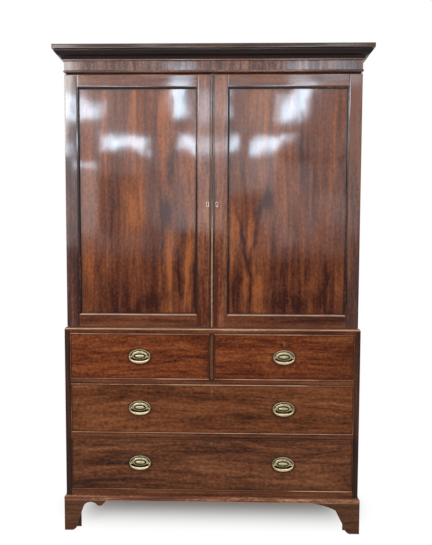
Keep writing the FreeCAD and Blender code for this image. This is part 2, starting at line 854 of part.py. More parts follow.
def make_drawer_rails():
    inner = chest_inner
    bottom_y = chest_front_y + bottom_rail_thickness
    centre = drawer_centre()
    bottom = box(-inner, inner, chest_front_y, bottom_y, chest_bottom_z, long_lower_z)
    lower = box(-inner, inner, chest_front_y, rail_back_y, lower_rail_z, long_upper_z)
    upper = box(-inner, inner, chest_front_y, rail_back_y, upper_rail_z, short_z)
    top = box(-inner, inner, chest_front_y, rail_back_y, top_rail_z, chest_top_z)
    lower = lower.cut(bolt_mortise(0, lower_rail_z))
    upper = upper.cut(bolt_mortise(0, upper_rail_z))
    for x in (-centre, centre):
        top = top.cut(bolt_mortise(x, top_rail_z))
    stops = drawer_stops(-inner, inner, long_lower_z) + drawer_stops(-inner, inner, long_upper_z)
    stops += drawer_stops(muntin_width / 2, inner, short_z)
    stops += drawer_stops(-inner, -muntin_width / 2, short_z)
    save("drawer_rails", [bottom, lower, upper, top] + stops)
    half = muntin_width / 2
    save("centre_muntin", [box(-half, half, chest_front_y, rail_back_y, short_z, top_rail_z)])


def make_dustboards():
    """Bottom board, dustboards, the runners that carry the drawers and the centre guide."""
    inner, half = chest_inner, centre_runner_width / 2
    rear = back_boards_y
    front = rail_back_y
    rise = (rail_height - dustboard_thickness) / 2
    edge = inner - runner_width
    solids = [box(-inner, inner, chest_front_y + bottom_rail_thickness, rear,
                  long_lower_z - bottom_board_thickness, long_lower_z)]
    for z in (lower_rail_z, upper_rail_z):
        runner = box(edge, inner, front, rear, z, z + rail_height)
        solids += [runner, mirrored(runner)]
    z = lower_rail_z + rise
    solids.append(box(-edge, edge, front, rear, z, z + dustboard_thickness))
    z = upper_rail_z + rise
    board = box(half, edge, front, rear, z, z + dustboard_thickness)
    solids += [board, mirrored(board)]
    solids.append(box(-half, half, front, rear, upper_rail_z, short_z))
    guide = muntin_width / 2
    solids.append(box(-guide, guide, front, rear, short_z, short_z + guide_height))
    save("dustboards", solids)


def make_waist_moulding():
    """A moulding on the chest top that holds the upper case in place."""
    inner_half = upper_half + upper_seat_clearance
    nose = chest_half - inner_half
    top = waist_moulding_height
    shoulder = (nose, waist_nose_flat)
    crest = (waist_top_land, top)
    section = ((0, 0), [(nose, 0), shoulder, bulge(shoulder, crest, -moulding_hollow), (0, top)])
    front_face_y = chest_front_y + nose
    front, right, left = three_sides(section, inner_half, front_face_y, chest_top_z,
                                     top, nose, 0)
    ledge = box(-inner_half, inner_half, front_face_y, case_front_y - upper_seat_clearance,
                chest_top_z, waist_top_z)
    save("waist_moulding", [front.fuse(ledge).removeSplitter(), right, left])


def make_plinth_moulding():
    shoulder = (plinth_projection, plinth_fascia_height)
    crest = (plinth_top_land, plinth_moulding_height)
    section = ((0, 0), [(plinth_projection, 0), shoulder,
                        bulge(shoulder, crest, -moulding_hollow),
                        (0, plinth_moulding_height)])
    save("plinth_moulding", three_sides(section, chest_half, chest_front_y, chest_bottom_z,
                                        plinth_moulding_height, plinth_projection, 0))


# ---- Feet ----
def cusped_bracket():
    """Outline of a bracket with a cusp, along from its corner and up from the floor."""
    top = foot_height
    toe = (cusped_toe, 0)
    toe_end = (cusped_toe + toe_round, toe_round_height)
    haunch = (haunch_out, top - haunch_drop)
    arch = (arch_out, top - arch_drop)
    arch_end = (arch_end_out, top - arch_end_drop)
    cusp = (cusp_out, top - cusp_drop)
    cusp_end = (cusp_end_out, top - cusp_end_drop)
    return ((0, 0), [toe, bulge(toe, toe_end, -toe_round_belly),
                     bulge(toe_end, haunch, haunch_hollow), (arch, arch_end),
                     (cusp, cusp_end), (cusped_width, top), (0, top)])


def plain_bracket():
    """Outline of a bracket with a straight inner edge that sweeps out under the moulding."""
    top = foot_height
    toe = (plain_toe, 0)
    toe_end = (plain_toe + toe_round, toe_round_height)
    knee = (knee_out, top - knee_drop)
    wing = (plain_width, top)
    return ((0, 0), [toe, bulge(toe, toe_end, -toe_round_belly), knee,
                     bulge(knee, wing, wing_hollow), (0, top)])


def side_bracket(bracket, corner_y, way):
    """The right-hand bracket that runs along Y from a corner, forwards or backwards."""
    start, steps = bracket

    def place(along, up):
        return V(plinth_half - bracket_thickness, corner_y + way * along, up)

    return outline(place, start, steps).extrude(V(bracket_thickness, 0, 0))


def corner_block(inner_x, inner_y, way):
    """A three-cornered glue block in the angle of two brackets, clear of the floor."""
    corners = [(inner_x, inner_y), (inner_x - glue_block, inner_y),
               (inner_x, inner_y + way * glue_block)]
    return plan_prism(corners, glue_block_short, foot_height)


def front_foot(bracket):
    """Front and side brackets of the right-hand front foot, mitred, with a glue block."""
    start, steps = bracket
    corner_x, corner_y = plinth_half, plinth_front_y
    inner_x, inner_y = corner_x - bracket_thickness, corner_y + bracket_thickness
    end_x, end_y = 0, back_y

    def on_front(along, up):
        return V(corner_x - along, corner_y, up)

    front_plan = [(corner_x, corner_y), (inner_x, inner_y), (end_x, inner_y), (end_x, corner_y)]
    side_plan = [(corner_x, corner_y), (corner_x, end_y), (inner_x, end_y), (inner_x, inner_y)]
    front = outline(on_front, start, steps).extrude(V(0, bracket_thickness, 0))
    front = front.common(plan_prism(front_plan, -1, foot_height + 1))
    side = side_bracket(bracket, corner_y, 1)
    side = side.common(plan_prism(side_plan, -1, foot_height + 1))
    return [front, side, corner_block(inner_x, inner_y, 1)]


def back_foot(bracket):
    """Side bracket, plain rear bracket and glue block of the right-hand back foot."""
    outer = plinth_half - bracket_thickness
    inner_y = back_y - rear_bracket_thickness
    rear_corners = [(outer, 0), (outer, foot_height), (outer - rear_bracket_width, foot_height),
                    (outer - rear_bracket_toe, 0)]
    rear = front_prism(rear_corners, inner_y, back_y)
    return [side_bracket(bracket, back_y, -1), rear, corner_block(outer, inner_y, -1)]


def make_feet():
    save("foot_front_right", front_foot(plain_bracket()))
    save("foot_front_left", [mirrored(solid) for solid in front_foot(cusped_bracket())])
    right = back_foot(plain_bracket())
    left = [mirrored(solid) for solid in back_foot(cusped_bracket())]
    save("back_feet", right + left)


# ---- Handles ----
def oval(x, z, y, half_width, half_height, thickness):
    """An elliptical disc that stands forward from y."""
    edge = Part.Ellipse(V(0, 0, 0), half_width, half_height).toShape()
    disc = Part.Face(Part.Wire(edge)).extrude(V(0, 0, thickness))
    disc.rotate(V(0, 0, 0), V(1, 0, 0), 90)
    disc.translate(V(x, y, z))
    return disc


def oval_ring(x, z, y, half_width, half_height, width, thickness):
    outer = oval(x, z, y, half_width, half_height, thickness)
    return outer.cut(oval(x, z, y, half_width - width, half_height - width, thickness))


def post_positions(x):
    return (x - post_spacing / 2, x + post_spacing / 2)


def handle_plate(x, z):
    """A stamped oval plate: rim, raised ring and boss on a thin disc."""
    y = chest_front_y
    face_y = y - plate_thickness
    plate = oval(x, z, y, plate_half_width, plate_half_height, plate_thickness)
    rim = oval_ring(x, z, face_y, plate_half_width, plate_half_height, plate_rim,
                    plate_ring_height)
    ring = oval_ring(x, z, face_y, plate_ring_half_width, plate_ring_half_height,
                     plate_ring_width, plate_ring_height)
    boss = oval(x, z, face_y, plate_boss_half_width, plate_boss_half_height,
                plate_boss_height)
    plate = plate.fuse([rim, ring, boss]).removeSplitter()
    for post_x in post_positions(x):
        plate = plate.cut(rod(V(post_x, y, z), V(0, -1, 0), post_neck_radius, plate_thickness))
    return plate


def handle_post(x, z):
    """A bolt with a bored ball head, and its nut inside the drawer."""
    head = Part.makeSphere(post_head_radius, V(x, post_y, z))
    neck = rod(V(x, post_y, z), V(0, 1, 0), post_neck_radius, post_standoff)
    inside_y = drawer_front_back_y + post_nut_thickness
    shank = rod(V(x, post_y, z), V(0, 1, 0), post_shank_radius, inside_y - post_y)
    bore = rod(V(x - post_head_radius, post_y, z), V(1, 0, 0),
               bail_pin_radius + bail_pin_clearance, 2 * post_head_radius)
    post = head.fuse([neck, shank]).removeSplitter().cut(bore)
    nut = rod(V(x, drawer_front_back_y, z), V(0, 1, 0), post_nut_radius, post_nut_thickness)
    return [post, nut.cut(shank)]


def make_bail(name, x, z):
    """A bow of round bar on two pins: two corner arcs and a wide arc, all tangent."""
    half, corner = bail_half_width, bail_corner_radius
    side = half - corner
    drop = bail_drop - bail_shoulder
    wide = (side ** 2 + drop ** 2 - corner ** 2) / (2 * (drop - corner))
    corner_centre = (-side, -bail_shoulder)
    wide_centre = (0, -bail_drop + wide)
    lean = math.atan2(corner_centre[1] - wide_centre[1], corner_centre[0] - wide_centre[0])
    blend = (corner_centre[0] + corner * math.cos(lean), corner_centre[1] + corner * math.sin(lean))
    halfway = (lean - math.pi) / 2
    corner_middle = (corner_centre[0] + corner * math.cos(halfway),
                     corner_centre[1] + corner * math.sin(halfway))

    def place(along, up):
        return V(x + along, post_y, z + up)

    path = [Part.makeLine(place(-half, 0), place(-half, -bail_shoulder)),
            Part.Arc(place(-half, -bail_shoulder), place(*corner_middle),
                     place(*blend)).toShape(),
            Part.Arc(place(*blend), place(0, -bail_drop), place(-blend[0], blend[1])).toShape(),
            Part.Arc(place(-blend[0], blend[1]), place(-corner_middle[0], corner_middle[1]),
                     place(half, -bail_shoulder)).toShape(),
            Part.makeLine(place(half, -bail_shoulder), place(half, 0))]
    ring = Part.Wire(Part.Circle(place(-half, 0), V(0, 0, 1), bail_radius).toShape())
    bow = Part.Wire(path).makePipeShell([ring], True, False)
    pin_length = half - post_spacing / 2 + bail_pin_inset
    for way in (-1, 1):
        end = place(way * half, 0)
        bow = bow.fuse(Part.makeSphere(bail_radius, end))
        bow = bow.fuse(rod(end, V(-way, 0, 0), bail_pin_radius, pin_length))
    save(name, [bow.removeSplitter()])


# ---- Drawers ----
def side_tails(x0, x1, z0, z1, count):
    """Dovetails on the front end of a drawer side, wider at their tips."""
    pitch = (z1 - z0) / count
    root_y, tip_y = drawer_front_back_y, chest_front_y + cockbead_depth + tail_lap
    neck, tip = tail_neck / 2, tail_neck / 2 + tail_flare

    def place(y, z):
        return V(x0, y, z)

    tails = []
    for index in range(count):
        middle = z0 + pitch * (index + 0.5)
        corners = [(tip_y, middle - tip), (tip_y, middle + tip), (root_y, middle + neck)]
        tail = outline(place, (root_y, middle - neck), corners)
        tails.append(tail.extrude(V(x1 - x0, 0, 0)))
    return tails


def make_drawer(name, opening, handle_xs, handle_z, key_x, key_z, tail_count):
    """One drawer: front with cockbead, box, brassware and lock bolt."""
    x0, x1, z0, z1 = opening
    left, right = x0 + drawer_gap, x1 - drawer_gap
    low, high = z0 + drawer_gap, z1 - drawer_gap
    bead = cockbead_thickness
    front_y, rear_y = chest_front_y, drawer_front_back_y

    side_low, side_high = z0 + runner_clearance, high - drawer_side_drop
    left_side = box(left, left + drawer_side_thickness, rear_y, drawer_back_y,
                    side_low, side_high)
    right_side = box(right - drawer_side_thickness, right, rear_y, drawer_back_y,
                     side_low, side_high)
    left_tails = side_tails(left, left + drawer_side_thickness, low, side_high, tail_count)
    right_tails = side_tails(right - drawer_side_thickness, right, low, side_high, tail_count)
    inner_left, inner_right = left + drawer_side_thickness, right - drawer_side_thickness
    bottom_z = side_low + drawer_bottom_rise
    bottom_top = bottom_z + drawer_bottom_thickness
    bottom = box(inner_left, inner_right, rear_y, drawer_back_y, bottom_z, bottom_top)
    back = box(inner_left, inner_right, drawer_back_y - drawer_side_thickness, drawer_back_y,
               bottom_top, side_high - drawer_back_drop)
    save("drawer_%s_box" % name, [left_side.fuse(left_tails).removeSplitter(),
                                  right_side.fuse(right_tails).removeSplitter(), bottom, back])

    front = box(left, right, front_y, rear_y, low, high)
    edge = box(left, right, front_y, front_y + cockbead_depth, low, high)
    field = box(left + bead, right - bead, front_y, front_y + cockbead_depth,
                low + bead, high - bead)
    front = front.cut(edge.cut(field))
    front = front.cut(left_tails + right_tails)
    lock_low = key_z - lock_below_key
    lock_space = box(key_x - lock_width / 2, key_x + lock_width / 2, rear_y - lock_depth, rear_y,
                     lock_low, high)
    front = front.cut([lock_space, key_surround(drawer_key, key_x, front_y, key_z),
                       key_opening(drawer_key, key_x, front_y, key_z, drawer_front_thickness)])
    for handle_x in handle_xs:
        for post_x in post_positions(handle_x):
            front = front.cut(rod(V(post_x, front_y, handle_z), V(0, 1, 0), post_shank_radius,
                                  drawer_front_thickness))
    nose = ((0, cockbead_depth), [(0, 0), ((bead / 2, -cockbead_proud), (bead, 0)),
                                  (bead, cockbead_depth)])
    strips = frame_strips(nose, left, right, low, high, front_y, bead)
    save("drawer_%s_front" % name, [front] + strips)

    bolt_top = high - bolt_clearance
    half_x, half_y = bolt_width / 2, bolt_thickness / 2
    bolt = box(key_x - half_x, key_x + half_x, bolt_y - half_y, bolt_y + half_y,
               bolt_top - bolt_length, bolt_top)
    play = bolt_clearance
    channel = box(key_x - half_x - play, key_x + half_x + play,
                  bolt_y - half_y - play, bolt_y + half_y + play,
                  bolt_top - bolt_length - play, high)
    case = lock_space.cut([channel, key_opening(drawer_key, key_x, rear_y - lock_depth, key_z,
                                                lock_depth / 2)])
    brassware = [escutcheon(drawer_key, key_x, front_y, key_z), case]
    for handle_x in handle_xs:
        brassware.append(handle_plate(handle_x, handle_z))
        for post_x in post_positions(handle_x):
            brassware += handle_post(post_x, handle_z)
    save("drawer_%s_brassware" % name, brassware)
    save("lock_bolt_%s" % name, [bolt])


def make_drawers():
    inner, half = chest_inner, muntin_width / 2
    centre = drawer_centre()
    short_key_z = top_rail_z - short_key_drop
    upper_key_z = upper_rail_z - long_upper_key_drop
    lower_key_z = lower_rail_z - long_lower_key_drop
    short_handle_z = short_z + short_opening / 2 + short_handle_rise
    upper_handle_z = long_upper_z + long_upper_opening / 2 + long_upper_handle_rise
    lower_handle_z = long_lower_z + long_lower_opening / 2 + long_lower_handle_rise
    make_drawer("short_left", (-inner, -half, short_z, top_rail_z), [-centre],
                short_handle_z, -centre, short_key_z, tails_per_short_side)
    make_drawer("short_right", (half, inner, short_z, top_rail_z), [centre],
                short_handle_z, centre, short_key_z, tails_per_short_side)
    make_drawer("long_upper", (-inner, inner, long_upper_z, upper_rail_z), [-centre, centre],
                upper_handle_z, 0, upper_key_z, tails_per_long_side)
    make_drawer("long_lower", (-inner, inner, long_lower_z, lower_rail_z), [-centre, centre],
                lower_handle_z, 0, lower_key_z, tails_per_long_side)
    make_bail("bail_short_left", -centre, short_handle_z)
    make_bail("bail_short_right", centre, short_handle_z)
    make_bail("bail_upper_left", -centre, upper_handle_z)
    make_bail("bail_upper_right", centre, upper_handle_z)
    make_bail("bail_lower_left", -centre, lower_handle_z)
    make_bail("bail_lower_right", centre, lower_handle_z)


os.makedirs("parts", exist_ok=True)
make_cornice()
make_frieze()
make_upper_case()
make_case_hinges()
make_tray_runners()
for tray in range(tray_count):
    make_tray(tray)
make_doors()
make_chest_case()
make_drawer_rails()
make_dustboards()
make_waist_moulding()
make_plinth_moulding()
make_feet()
make_drawers()
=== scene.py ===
import json
import math

import bpy
import numpy as np
from mathutils import Matrix, Vector


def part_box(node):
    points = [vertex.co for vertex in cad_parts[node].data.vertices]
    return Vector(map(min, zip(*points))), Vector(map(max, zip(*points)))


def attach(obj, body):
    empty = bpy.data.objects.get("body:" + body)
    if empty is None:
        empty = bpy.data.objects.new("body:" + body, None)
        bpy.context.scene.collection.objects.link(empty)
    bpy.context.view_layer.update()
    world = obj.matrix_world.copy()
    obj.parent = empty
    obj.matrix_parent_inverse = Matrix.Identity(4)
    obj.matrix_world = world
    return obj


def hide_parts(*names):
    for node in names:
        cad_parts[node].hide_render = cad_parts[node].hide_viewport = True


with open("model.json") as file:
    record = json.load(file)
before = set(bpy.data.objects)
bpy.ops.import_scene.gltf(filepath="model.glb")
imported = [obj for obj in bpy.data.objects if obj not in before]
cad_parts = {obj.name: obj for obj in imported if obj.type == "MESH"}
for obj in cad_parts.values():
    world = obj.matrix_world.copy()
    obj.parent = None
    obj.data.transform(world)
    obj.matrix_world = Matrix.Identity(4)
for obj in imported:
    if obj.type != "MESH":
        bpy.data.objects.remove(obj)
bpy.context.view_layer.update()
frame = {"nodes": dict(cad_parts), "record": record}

# A two-part mahogany linen press: French-polished doors over a waxed chest of drawers, with
# aged brass handles, pine backs and oak insides.  Metres, X to the viewer's right, Y from
# front to back, Z up.

MM = 0.001
X, Y, Z = np.eye(3)
GRAIN_X, GRAIN_Y, GRAIN_Z = 0, 1, 2          # the axis that a board's wood runs along
SMOOTH_ANGLE = math.radians(32)
draw = np.random.default_rng(11)             # where in the tree each board was cut
node_body = {node: body for body, nodes in frame["record"]["behaviour"]["bodies"].items()
             for node in nodes}


# ---- Camera ----
CAMERA_PLACE = (0.0598, -2.3745, 1.238)
CAMERA_PITCH_DOWN = 0.05504                  # radians, as are the next two
CAMERA_ROLL = 0.00357
CAMERA_YAW = -0.02034
FOCAL_PIXELS = 500.0
LONG_SIDE_PIXELS = 545.0
SENSOR_MM = 36.0


def make_camera():
    """A camera turned by its yaw, pitch and roll from looking along +Y."""
    forward = np.array([math.sin(CAMERA_YAW) * math.cos(CAMERA_PITCH_DOWN),
                        math.cos(CAMERA_YAW) * math.cos(CAMERA_PITCH_DOWN),
                        -math.sin(CAMERA_PITCH_DOWN)])
    level = np.array([math.cos(CAMERA_YAW), -math.sin(CAMERA_YAW), 0.0])
    above = np.cross(level, forward)
    right = math.cos(CAMERA_ROLL) * level + math.sin(CAMERA_ROLL) * above
    up = -math.sin(CAMERA_ROLL) * level + math.cos(CAMERA_ROLL) * above
    data = bpy.data.cameras.new("camera")
    data.sensor_width = SENSOR_MM
    data.lens = SENSOR_MM * FOCAL_PIXELS / LONG_SIDE_PIXELS
    camera = bpy.data.objects.new("camera", data)
    turn = Matrix(np.stack([right, up, -forward], 1).tolist()).to_4x4()
    camera.matrix_world = Matrix.Translation(CAMERA_PLACE) @ turn
    bpy.context.scene.collection.objects.link(camera)
    bpy.context.scene.camera = camera


make_camera()


# ---- Surfaces ----
# A shape is one closed surface: its points, its faces, and each point's place in the wood,
# edge and figure.  edge is 1 at a rubbed arris, -1 in a dirty hollow and 0 elsewhere, and some
# pieces also set it above 0 for painted highlights and below 0 for painted shade and shadow;
# figure is the broad light or dark of the wood, from 1 to -1, and on the hinge stiles also a
# painted light that grows towards the head.
def grid_faces(rows, columns, round_columns=False, round_rows=False):
    """Quads between the points of a grid numbered row by row.  Where it goes round, the last
    column or row is joined to the first."""
    row, column = np.meshgrid(np.arange(rows if round_rows else rows - 1),
                              np.arange(columns if round_columns else columns - 1),
                              indexing="ij")
    below, after = (row + 1) % rows, (column + 1) % columns
    quads = [row * columns + column, below * columns + column, below * columns + after,
             row * columns + after]
    return np.stack(quads, -1).reshape(-1, 4)


def enclosed(points, faces):
    """Six times the volume inside faces, negative where they point inwards: the sum of the
    triple products of every face's fan of triangles."""
    total = 0.0
    for count in {len(face) for face in faces}:
        fans = points[np.array([face for face in faces if len(face) == count])]
        total += (np.cross(fans[:, 1:-1], fans[:, 2:]) * fans[:, :1]).sum()
    return total


def shell(points, faces, grain, edge):
    """A shape turned outwards, cut from its own place in the wood."""
    faces = [list(face) for face in faces]
    if enclosed(points, faces) < 0:
        faces = [face[::-1] for face in faces]
    order = [grain, (grain + 1) % 3, (grain + 2) % 3]
    wood = points[:, order] + draw.uniform(-9, 9, 3)
    edge = np.broadcast_to(edge, len(points)).astype(float)
    return points, faces, wood, edge, np.zeros(len(points))


def marked(shape, edge=None, figure=None):
    """The same shape with another edge or figure."""
    points, faces, wood, old_edge, old_figure = shape
    return (points, faces, wood, old_edge if edge is None else edge,
            old_figure if figure is None else figure)


def skin(rings, grain, edge=0.0):
    """A closed surface through equal rings of points, with a flat face over each end ring."""
    count, around = rings.shape[:2]
    last = (count - 1) * around
    faces = grid_faces(count, around, True).tolist()
    faces += [list(range(around)), list(range(last + around - 1, last - 1, -1))]
    edge = np.broadcast_to(edge, (count, around)).ravel()
    return shell(rings.reshape(-1, 3), faces, grain, edge)


def welded(points, faces, edge):
    """Joins points that lie in the same place, to a thousandth of a millimetre."""
    keys = np.round(points / (0.001 * MM)).astype(np.int64)
    _, first, back = np.unique(keys, axis=0, return_index=True, return_inverse=True)
    back = back.ravel().tolist()
    return points[first], [[back[i] for i in face] for face in faces], edge[first]


ARRIS = 0.9 * MM                # radius of a planed arris
WEAR_REACH = 5 * MM             # how far rubbing spreads from it
TINY = 1e-7


def rulings(low, high, arris, middle):
    """Places along one side of a box: close together in the rounded corner, at angles of 45,
    22.5 and 0 degrees round it, then one at the end of the wear, and middle ones between."""
    corner = np.array([0, arris * (1 - math.tan(math.radians(22.5))), arris])
    reach = min(WEAR_REACH, (high - low) * 0.3)
    inner = np.linspace(low + reach, high - reach, middle)
    return np.concatenate([low + corner, inner, high - corner[::-1]])


def sunk(sheet, quads, start, first, inward):
    """A pocket below some quads of a face: the same quads moved inward, and a wall below each
    edge that only one of them has."""
    used, back = np.unique(quads, return_inverse=True)
    floor = back.reshape(quads.shape) + first
    edges = np.stack([quads, np.roll(quads, -1, 1)], -1).reshape(-1, 2)
    below = np.stack([floor, np.roll(floor, -1, 1)], -1).reshape(-1, 2)
    known = {(int(a), int(b)) for a, b in edges}
    walls = [[int(a) + start, int(b) + start, int(d), int(c)]
             for (a, b), (c, d) in zip(edges, below) if (int(b), int(a)) not in known]
    return sheet[used] + inward, floor.tolist() + walls


def ruled_box(lines, keyhole, pockets):
    """A box's six faces, each with its own points, as quads between the ruled places.  A
    pocket is (axis, which end of it, the two ranges on the next two axes, depth), and a window
    is left open round a keyhole."""
    points, faces, start = [], [], 0
    for axis in range(3):
        u, v = (axis + 1) % 3, (axis + 2) % 3
        across, along = np.meshgrid(lines[u], lines[v], indexing="ij")
        quads = grid_faces(*across.shape)
        for end, order in ((0, -1), (-1, 1)):
            sheet = np.empty(across.shape + (3,))
            sheet[..., axis], sheet[..., u], sheet[..., v] = lines[axis][end], across, along
            sheet = sheet.reshape(-1, 3)
            kept = quads[:, ::order]
            if keyhole is not None and axis == 1 and end == 0:
                kept = kept[~in_keyhole_window(sheet[kept].mean(1), keyhole)]
            points.append(sheet)
            here = start
            start += len(sheet)
            for pocket_axis, pocket_end, (u0, u1), (v0, v1), depth in pockets:
                if (pocket_axis, pocket_end) != (axis, end):
                    continue
                centre = sheet[kept].mean(1)
                below = ((centre[:, u] > u0) & (centre[:, u] < u1) & (centre[:, v] > v0)
                         & (centre[:, v] < v1))
                inward = np.eye(3)[axis] * (depth if end == 0 else -depth)
                floor, added = sunk(sheet, kept[below], here, start, inward)
                kept = kept[~below]
                points.append(floor)
                faces += added
                start += len(floor)
            faces += (kept + here).tolist()
    return np.concatenate(points), faces


def board(low, high, grain, arris=ARRIS, middle=(2, 2, 2), warp=None, keyhole=None, wear_and_shading=1.0,
          pockets=(), extra=()):
    """A board with rounded arrises.  A ruled box's points are drawn in to the box shrunk by the
    arris radius, and set out again by that radius along the line between the two.  The wear and
    shading argument is the arrises' edge value: wear above 0, and below 0 the darkening that each
    caller gives: dirt, dark joints and painted shade.  extra adds places to rule across an axis."""
    low, high = np.asarray(low, float), np.asarray(high, float)
    arris = min(arris, 0.3 * float((high - low).min()))
    lines = [rulings(low[k], high[k], arris, middle[k]) for k in range(3)]
    ruled = list(extra) + (keyhole_rulings(keyhole) if keyhole else [])
    for axis, _, u_range, v_range, _ in pockets:
        ruled += [((axis + 1) % 3, u_range), ((axis + 2) % 3, v_range)]
    for axis, places in ruled:
        lines[axis] = np.unique(np.concatenate([lines[axis], places]).round(7))
    points, faces = ruled_box(lines, keyhole, pockets)
    centre = np.clip(points, low + arris, high - arris)
    offset = points - centre
    near = np.minimum(points - low, high - points) < arris + TINY
    edge = np.where(near.sum(1) > 1, wear_and_shading, 0.0)
    length = np.linalg.norm(offset, axis=1, keepdims=True)
    flat = length[:, 0] < 1e-9
    length[flat] = 1.0
    points = np.where(flat[:, None], points, centre + offset / length * arris)
    if keyhole is not None:
        hole_points, hole_faces, hole_edge = keyhole_well(keyhole, low[1], points)
        faces += [[i + len(points) for i in face] for face in hole_faces]
        points = np.concatenate([points, hole_points])
        edge = np.concatenate([edge, hole_edge])
    points, faces, edge = welded(points, faces, edge)
    if warp is not None:
        points = warp(points)
    return shell(points, faces, grain, edge)


# ---- Keyholes: a key is the hole's middle (x, z) and its sizes ----
DRAWER_KEY = (3.3 * MM, 1.3 * MM, 9.5 * MM, 1.3 * MM)   # radius, half slot, slot drop, wall
DOOR_KEY = (4.0 * MM, 2.2 * MM, 13.0 * MM, 2.0 * MM)
KEY_WINDOW = 7.2 * MM           # half the width of the face that is remade round a keyhole
KEY_WINDOW_DROP = 17 * MM
KEY_DEPTH = 11 * MM


def keyhole_outline(key, walls):
    """A round hole's arc over a straight slot, both grown by so many walls, from the slot's
    foot."""
    x, z, (radius, slot, drop, wall) = key
    radius, slot, drop = radius + wall * walls, slot + wall * walls, drop + wall * walls
    lean = math.asin(slot / radius)
    turn = np.linspace(-math.pi / 2 + lean, 1.5 * math.pi - lean, 21)
    arc_points = np.stack([radius * np.cos(turn), radius * np.sin(turn)], 1)
    foot = np.array([[-slot, -drop], [0, -drop], [slot, -drop]])
    return np.concatenate([foot[1:], arc_points, foot[:1]]) + (x, z)


def keyhole_rulings(key):
    """Places to rule across X and Z: the window's sides and middle, its foot and its head."""
    x, z, _ = key
    return [(0, [x - KEY_WINDOW, x, x + KEY_WINDOW]), (2, [z - KEY_WINDOW_DROP, z + KEY_WINDOW])]


def in_keyhole_window(middles, key):
    """Which of the faces with these middles make way for the keyhole."""
    x, z, _ = key
    return ((np.abs(middles[:, 0] - x) < KEY_WINDOW) & (middles[:, 2] < z + KEY_WINDOW)
            & (middles[:, 2] > z - KEY_WINDOW_DROP))


def keyhole_well(key, front_y, sheet):
    """The face round a keyhole as two halves, the well's wall and its floor, painted darker down
    the hole as shade.  The halves' outer points are the board's own points on the window's border."""
    x, z, _ = key
    outline = keyhole_outline(key, 1)
    count = len(outline)
    at_front = np.column_stack([outline[:, 0], np.full(count, front_y), outline[:, 1]])
    at_floor = at_front + (0, KEY_DEPTH, 0)
    on_face = sheet[np.abs(sheet[:, 1] - front_y) < TINY]
    du, dw = on_face[:, 0] - x, on_face[:, 2] - z
    close = 10 * TINY
    sides = ((np.abs(np.abs(du) - KEY_WINDOW) < close) & (dw < KEY_WINDOW + close)
             & (dw > -KEY_WINDOW_DROP - close))
    ends = (np.abs(du) < KEY_WINDOW + close) & ((np.abs(dw - KEY_WINDOW) < close)
                                                | (np.abs(dw + KEY_WINDOW_DROP) < close))
    border = np.unique(on_face[sides | ends].round(7), axis=0)
    angle = np.arctan2(border[:, 2] - z, border[:, 0] - x)
    border = border[np.argsort((angle + math.pi / 2) % (2 * math.pi))]
    points = np.concatenate([at_front, at_floor, border])
    edge = np.repeat([-0.25, -1.0, 0.0], [count, count, len(border)])
    half, rim = count // 2, 2 * count
    top = int(np.argmin(np.abs(border[:, 0] - x) + np.abs(border[:, 2] - z - KEY_WINDOW)))
    right = list(range(rim, rim + top + 1)) + list(range(half, -1, -1))
    left = list(range(rim + top, rim + len(border))) + [rim, 0]
    left += list(range(count - 1, half - 1, -1))
    wall = [[i, (i + 1) % count, count + (i + 1) % count, count + i] for i in range(count)]
    return points, [right, left] + wall + [list(range(count, 2 * count))], edge


# ---- Profiles ----
def arc(start, end, rise, count):
    """Points after start on the arc to end whose middle stands rise to the left of the chord."""
    start, end = np.array(start, float), np.array(end, float)
    chord = end - start
    length = np.hypot(*chord)
    half = 2 * math.atan2(2 * rise, length)
    radius = length / (2 * math.sin(half))
    along, left = chord / length, np.array([-chord[1], chord[0]]) / length
    turn = np.linspace(-half, half, count + 1)[1:, None]
    centre = (start + end) / 2 - left * radius * math.cos(half)
    return list(centre + radius * (np.sin(turn) * along + np.cos(turn) * left))


SHARP = 0.45                    # radians that a profile turns at a corner


def eased(outline, radius=0.6 * MM, reach=4 * MM):
    """Rounds the sharp corners of a closed outline with short parabolas.  Returns its points,
    and how worn or dirty each is: 1 on an outer corner, -1 in a hollow, 0 from reach away.  Each
    corner has five places, and those that it doesn't need are left out."""
    outline = np.array(outline)
    before, after = outline - np.roll(outline, 1, 0), np.roll(outline, -1, 0) - outline
    run_in, run_out = np.hypot(*before.T), np.hypot(*after.T)
    way_in, way_out = before / run_in[:, None], after / run_out[:, None]
    turn = np.arctan2(way_in[:, 0] * way_out[:, 1] - way_in[:, 1] * way_out[:, 0],
                      (way_in * way_out).sum(1))
    turn = turn * np.sign(turn.sum())
    sharp = np.abs(turn) >= SHARP
    ease = np.where(sharp, np.minimum(radius, 0.4 * np.minimum(run_in, run_out)), 0)[:, None]
    places = np.stack([outline - reach * way_in, outline - ease * way_in,
                       outline + ease * (way_out - way_in) / 4, outline + ease * way_out,
                       outline + reach * way_out], 1)
    edges = (np.sign(turn) * sharp)[:, None] * (0.0, 0.7, 1.0, 0.7, 0.0)
    kept = np.stack([sharp & (run_in > 2.2 * reach), sharp, np.full(len(outline), True), sharp,
                     sharp & (run_out > 2.2 * reach)], 1)
    return places[kept], edges[kept]


def run(section, start, along, out, up, length, mitres, grain, stations=2):
    """A moulding: a section of (out, up) points carried length along a line.  At a mitred end
    each point goes on further by the mitre's share of its own distance out."""
    points, edges = section
    reach = points[:, 0]
    ends = np.array([-mitres[0] * reach, length + mitres[1] * reach])
    share = np.linspace(0, 1, stations)[:, None]
    place = ends[0] + (ends[1] - ends[0]) * share
    rings = (np.asarray(start) + place[..., None] * along + reach[None, :, None] * out
             + points[None, :, 1, None] * up)
    return skin(rings, grain, edges)


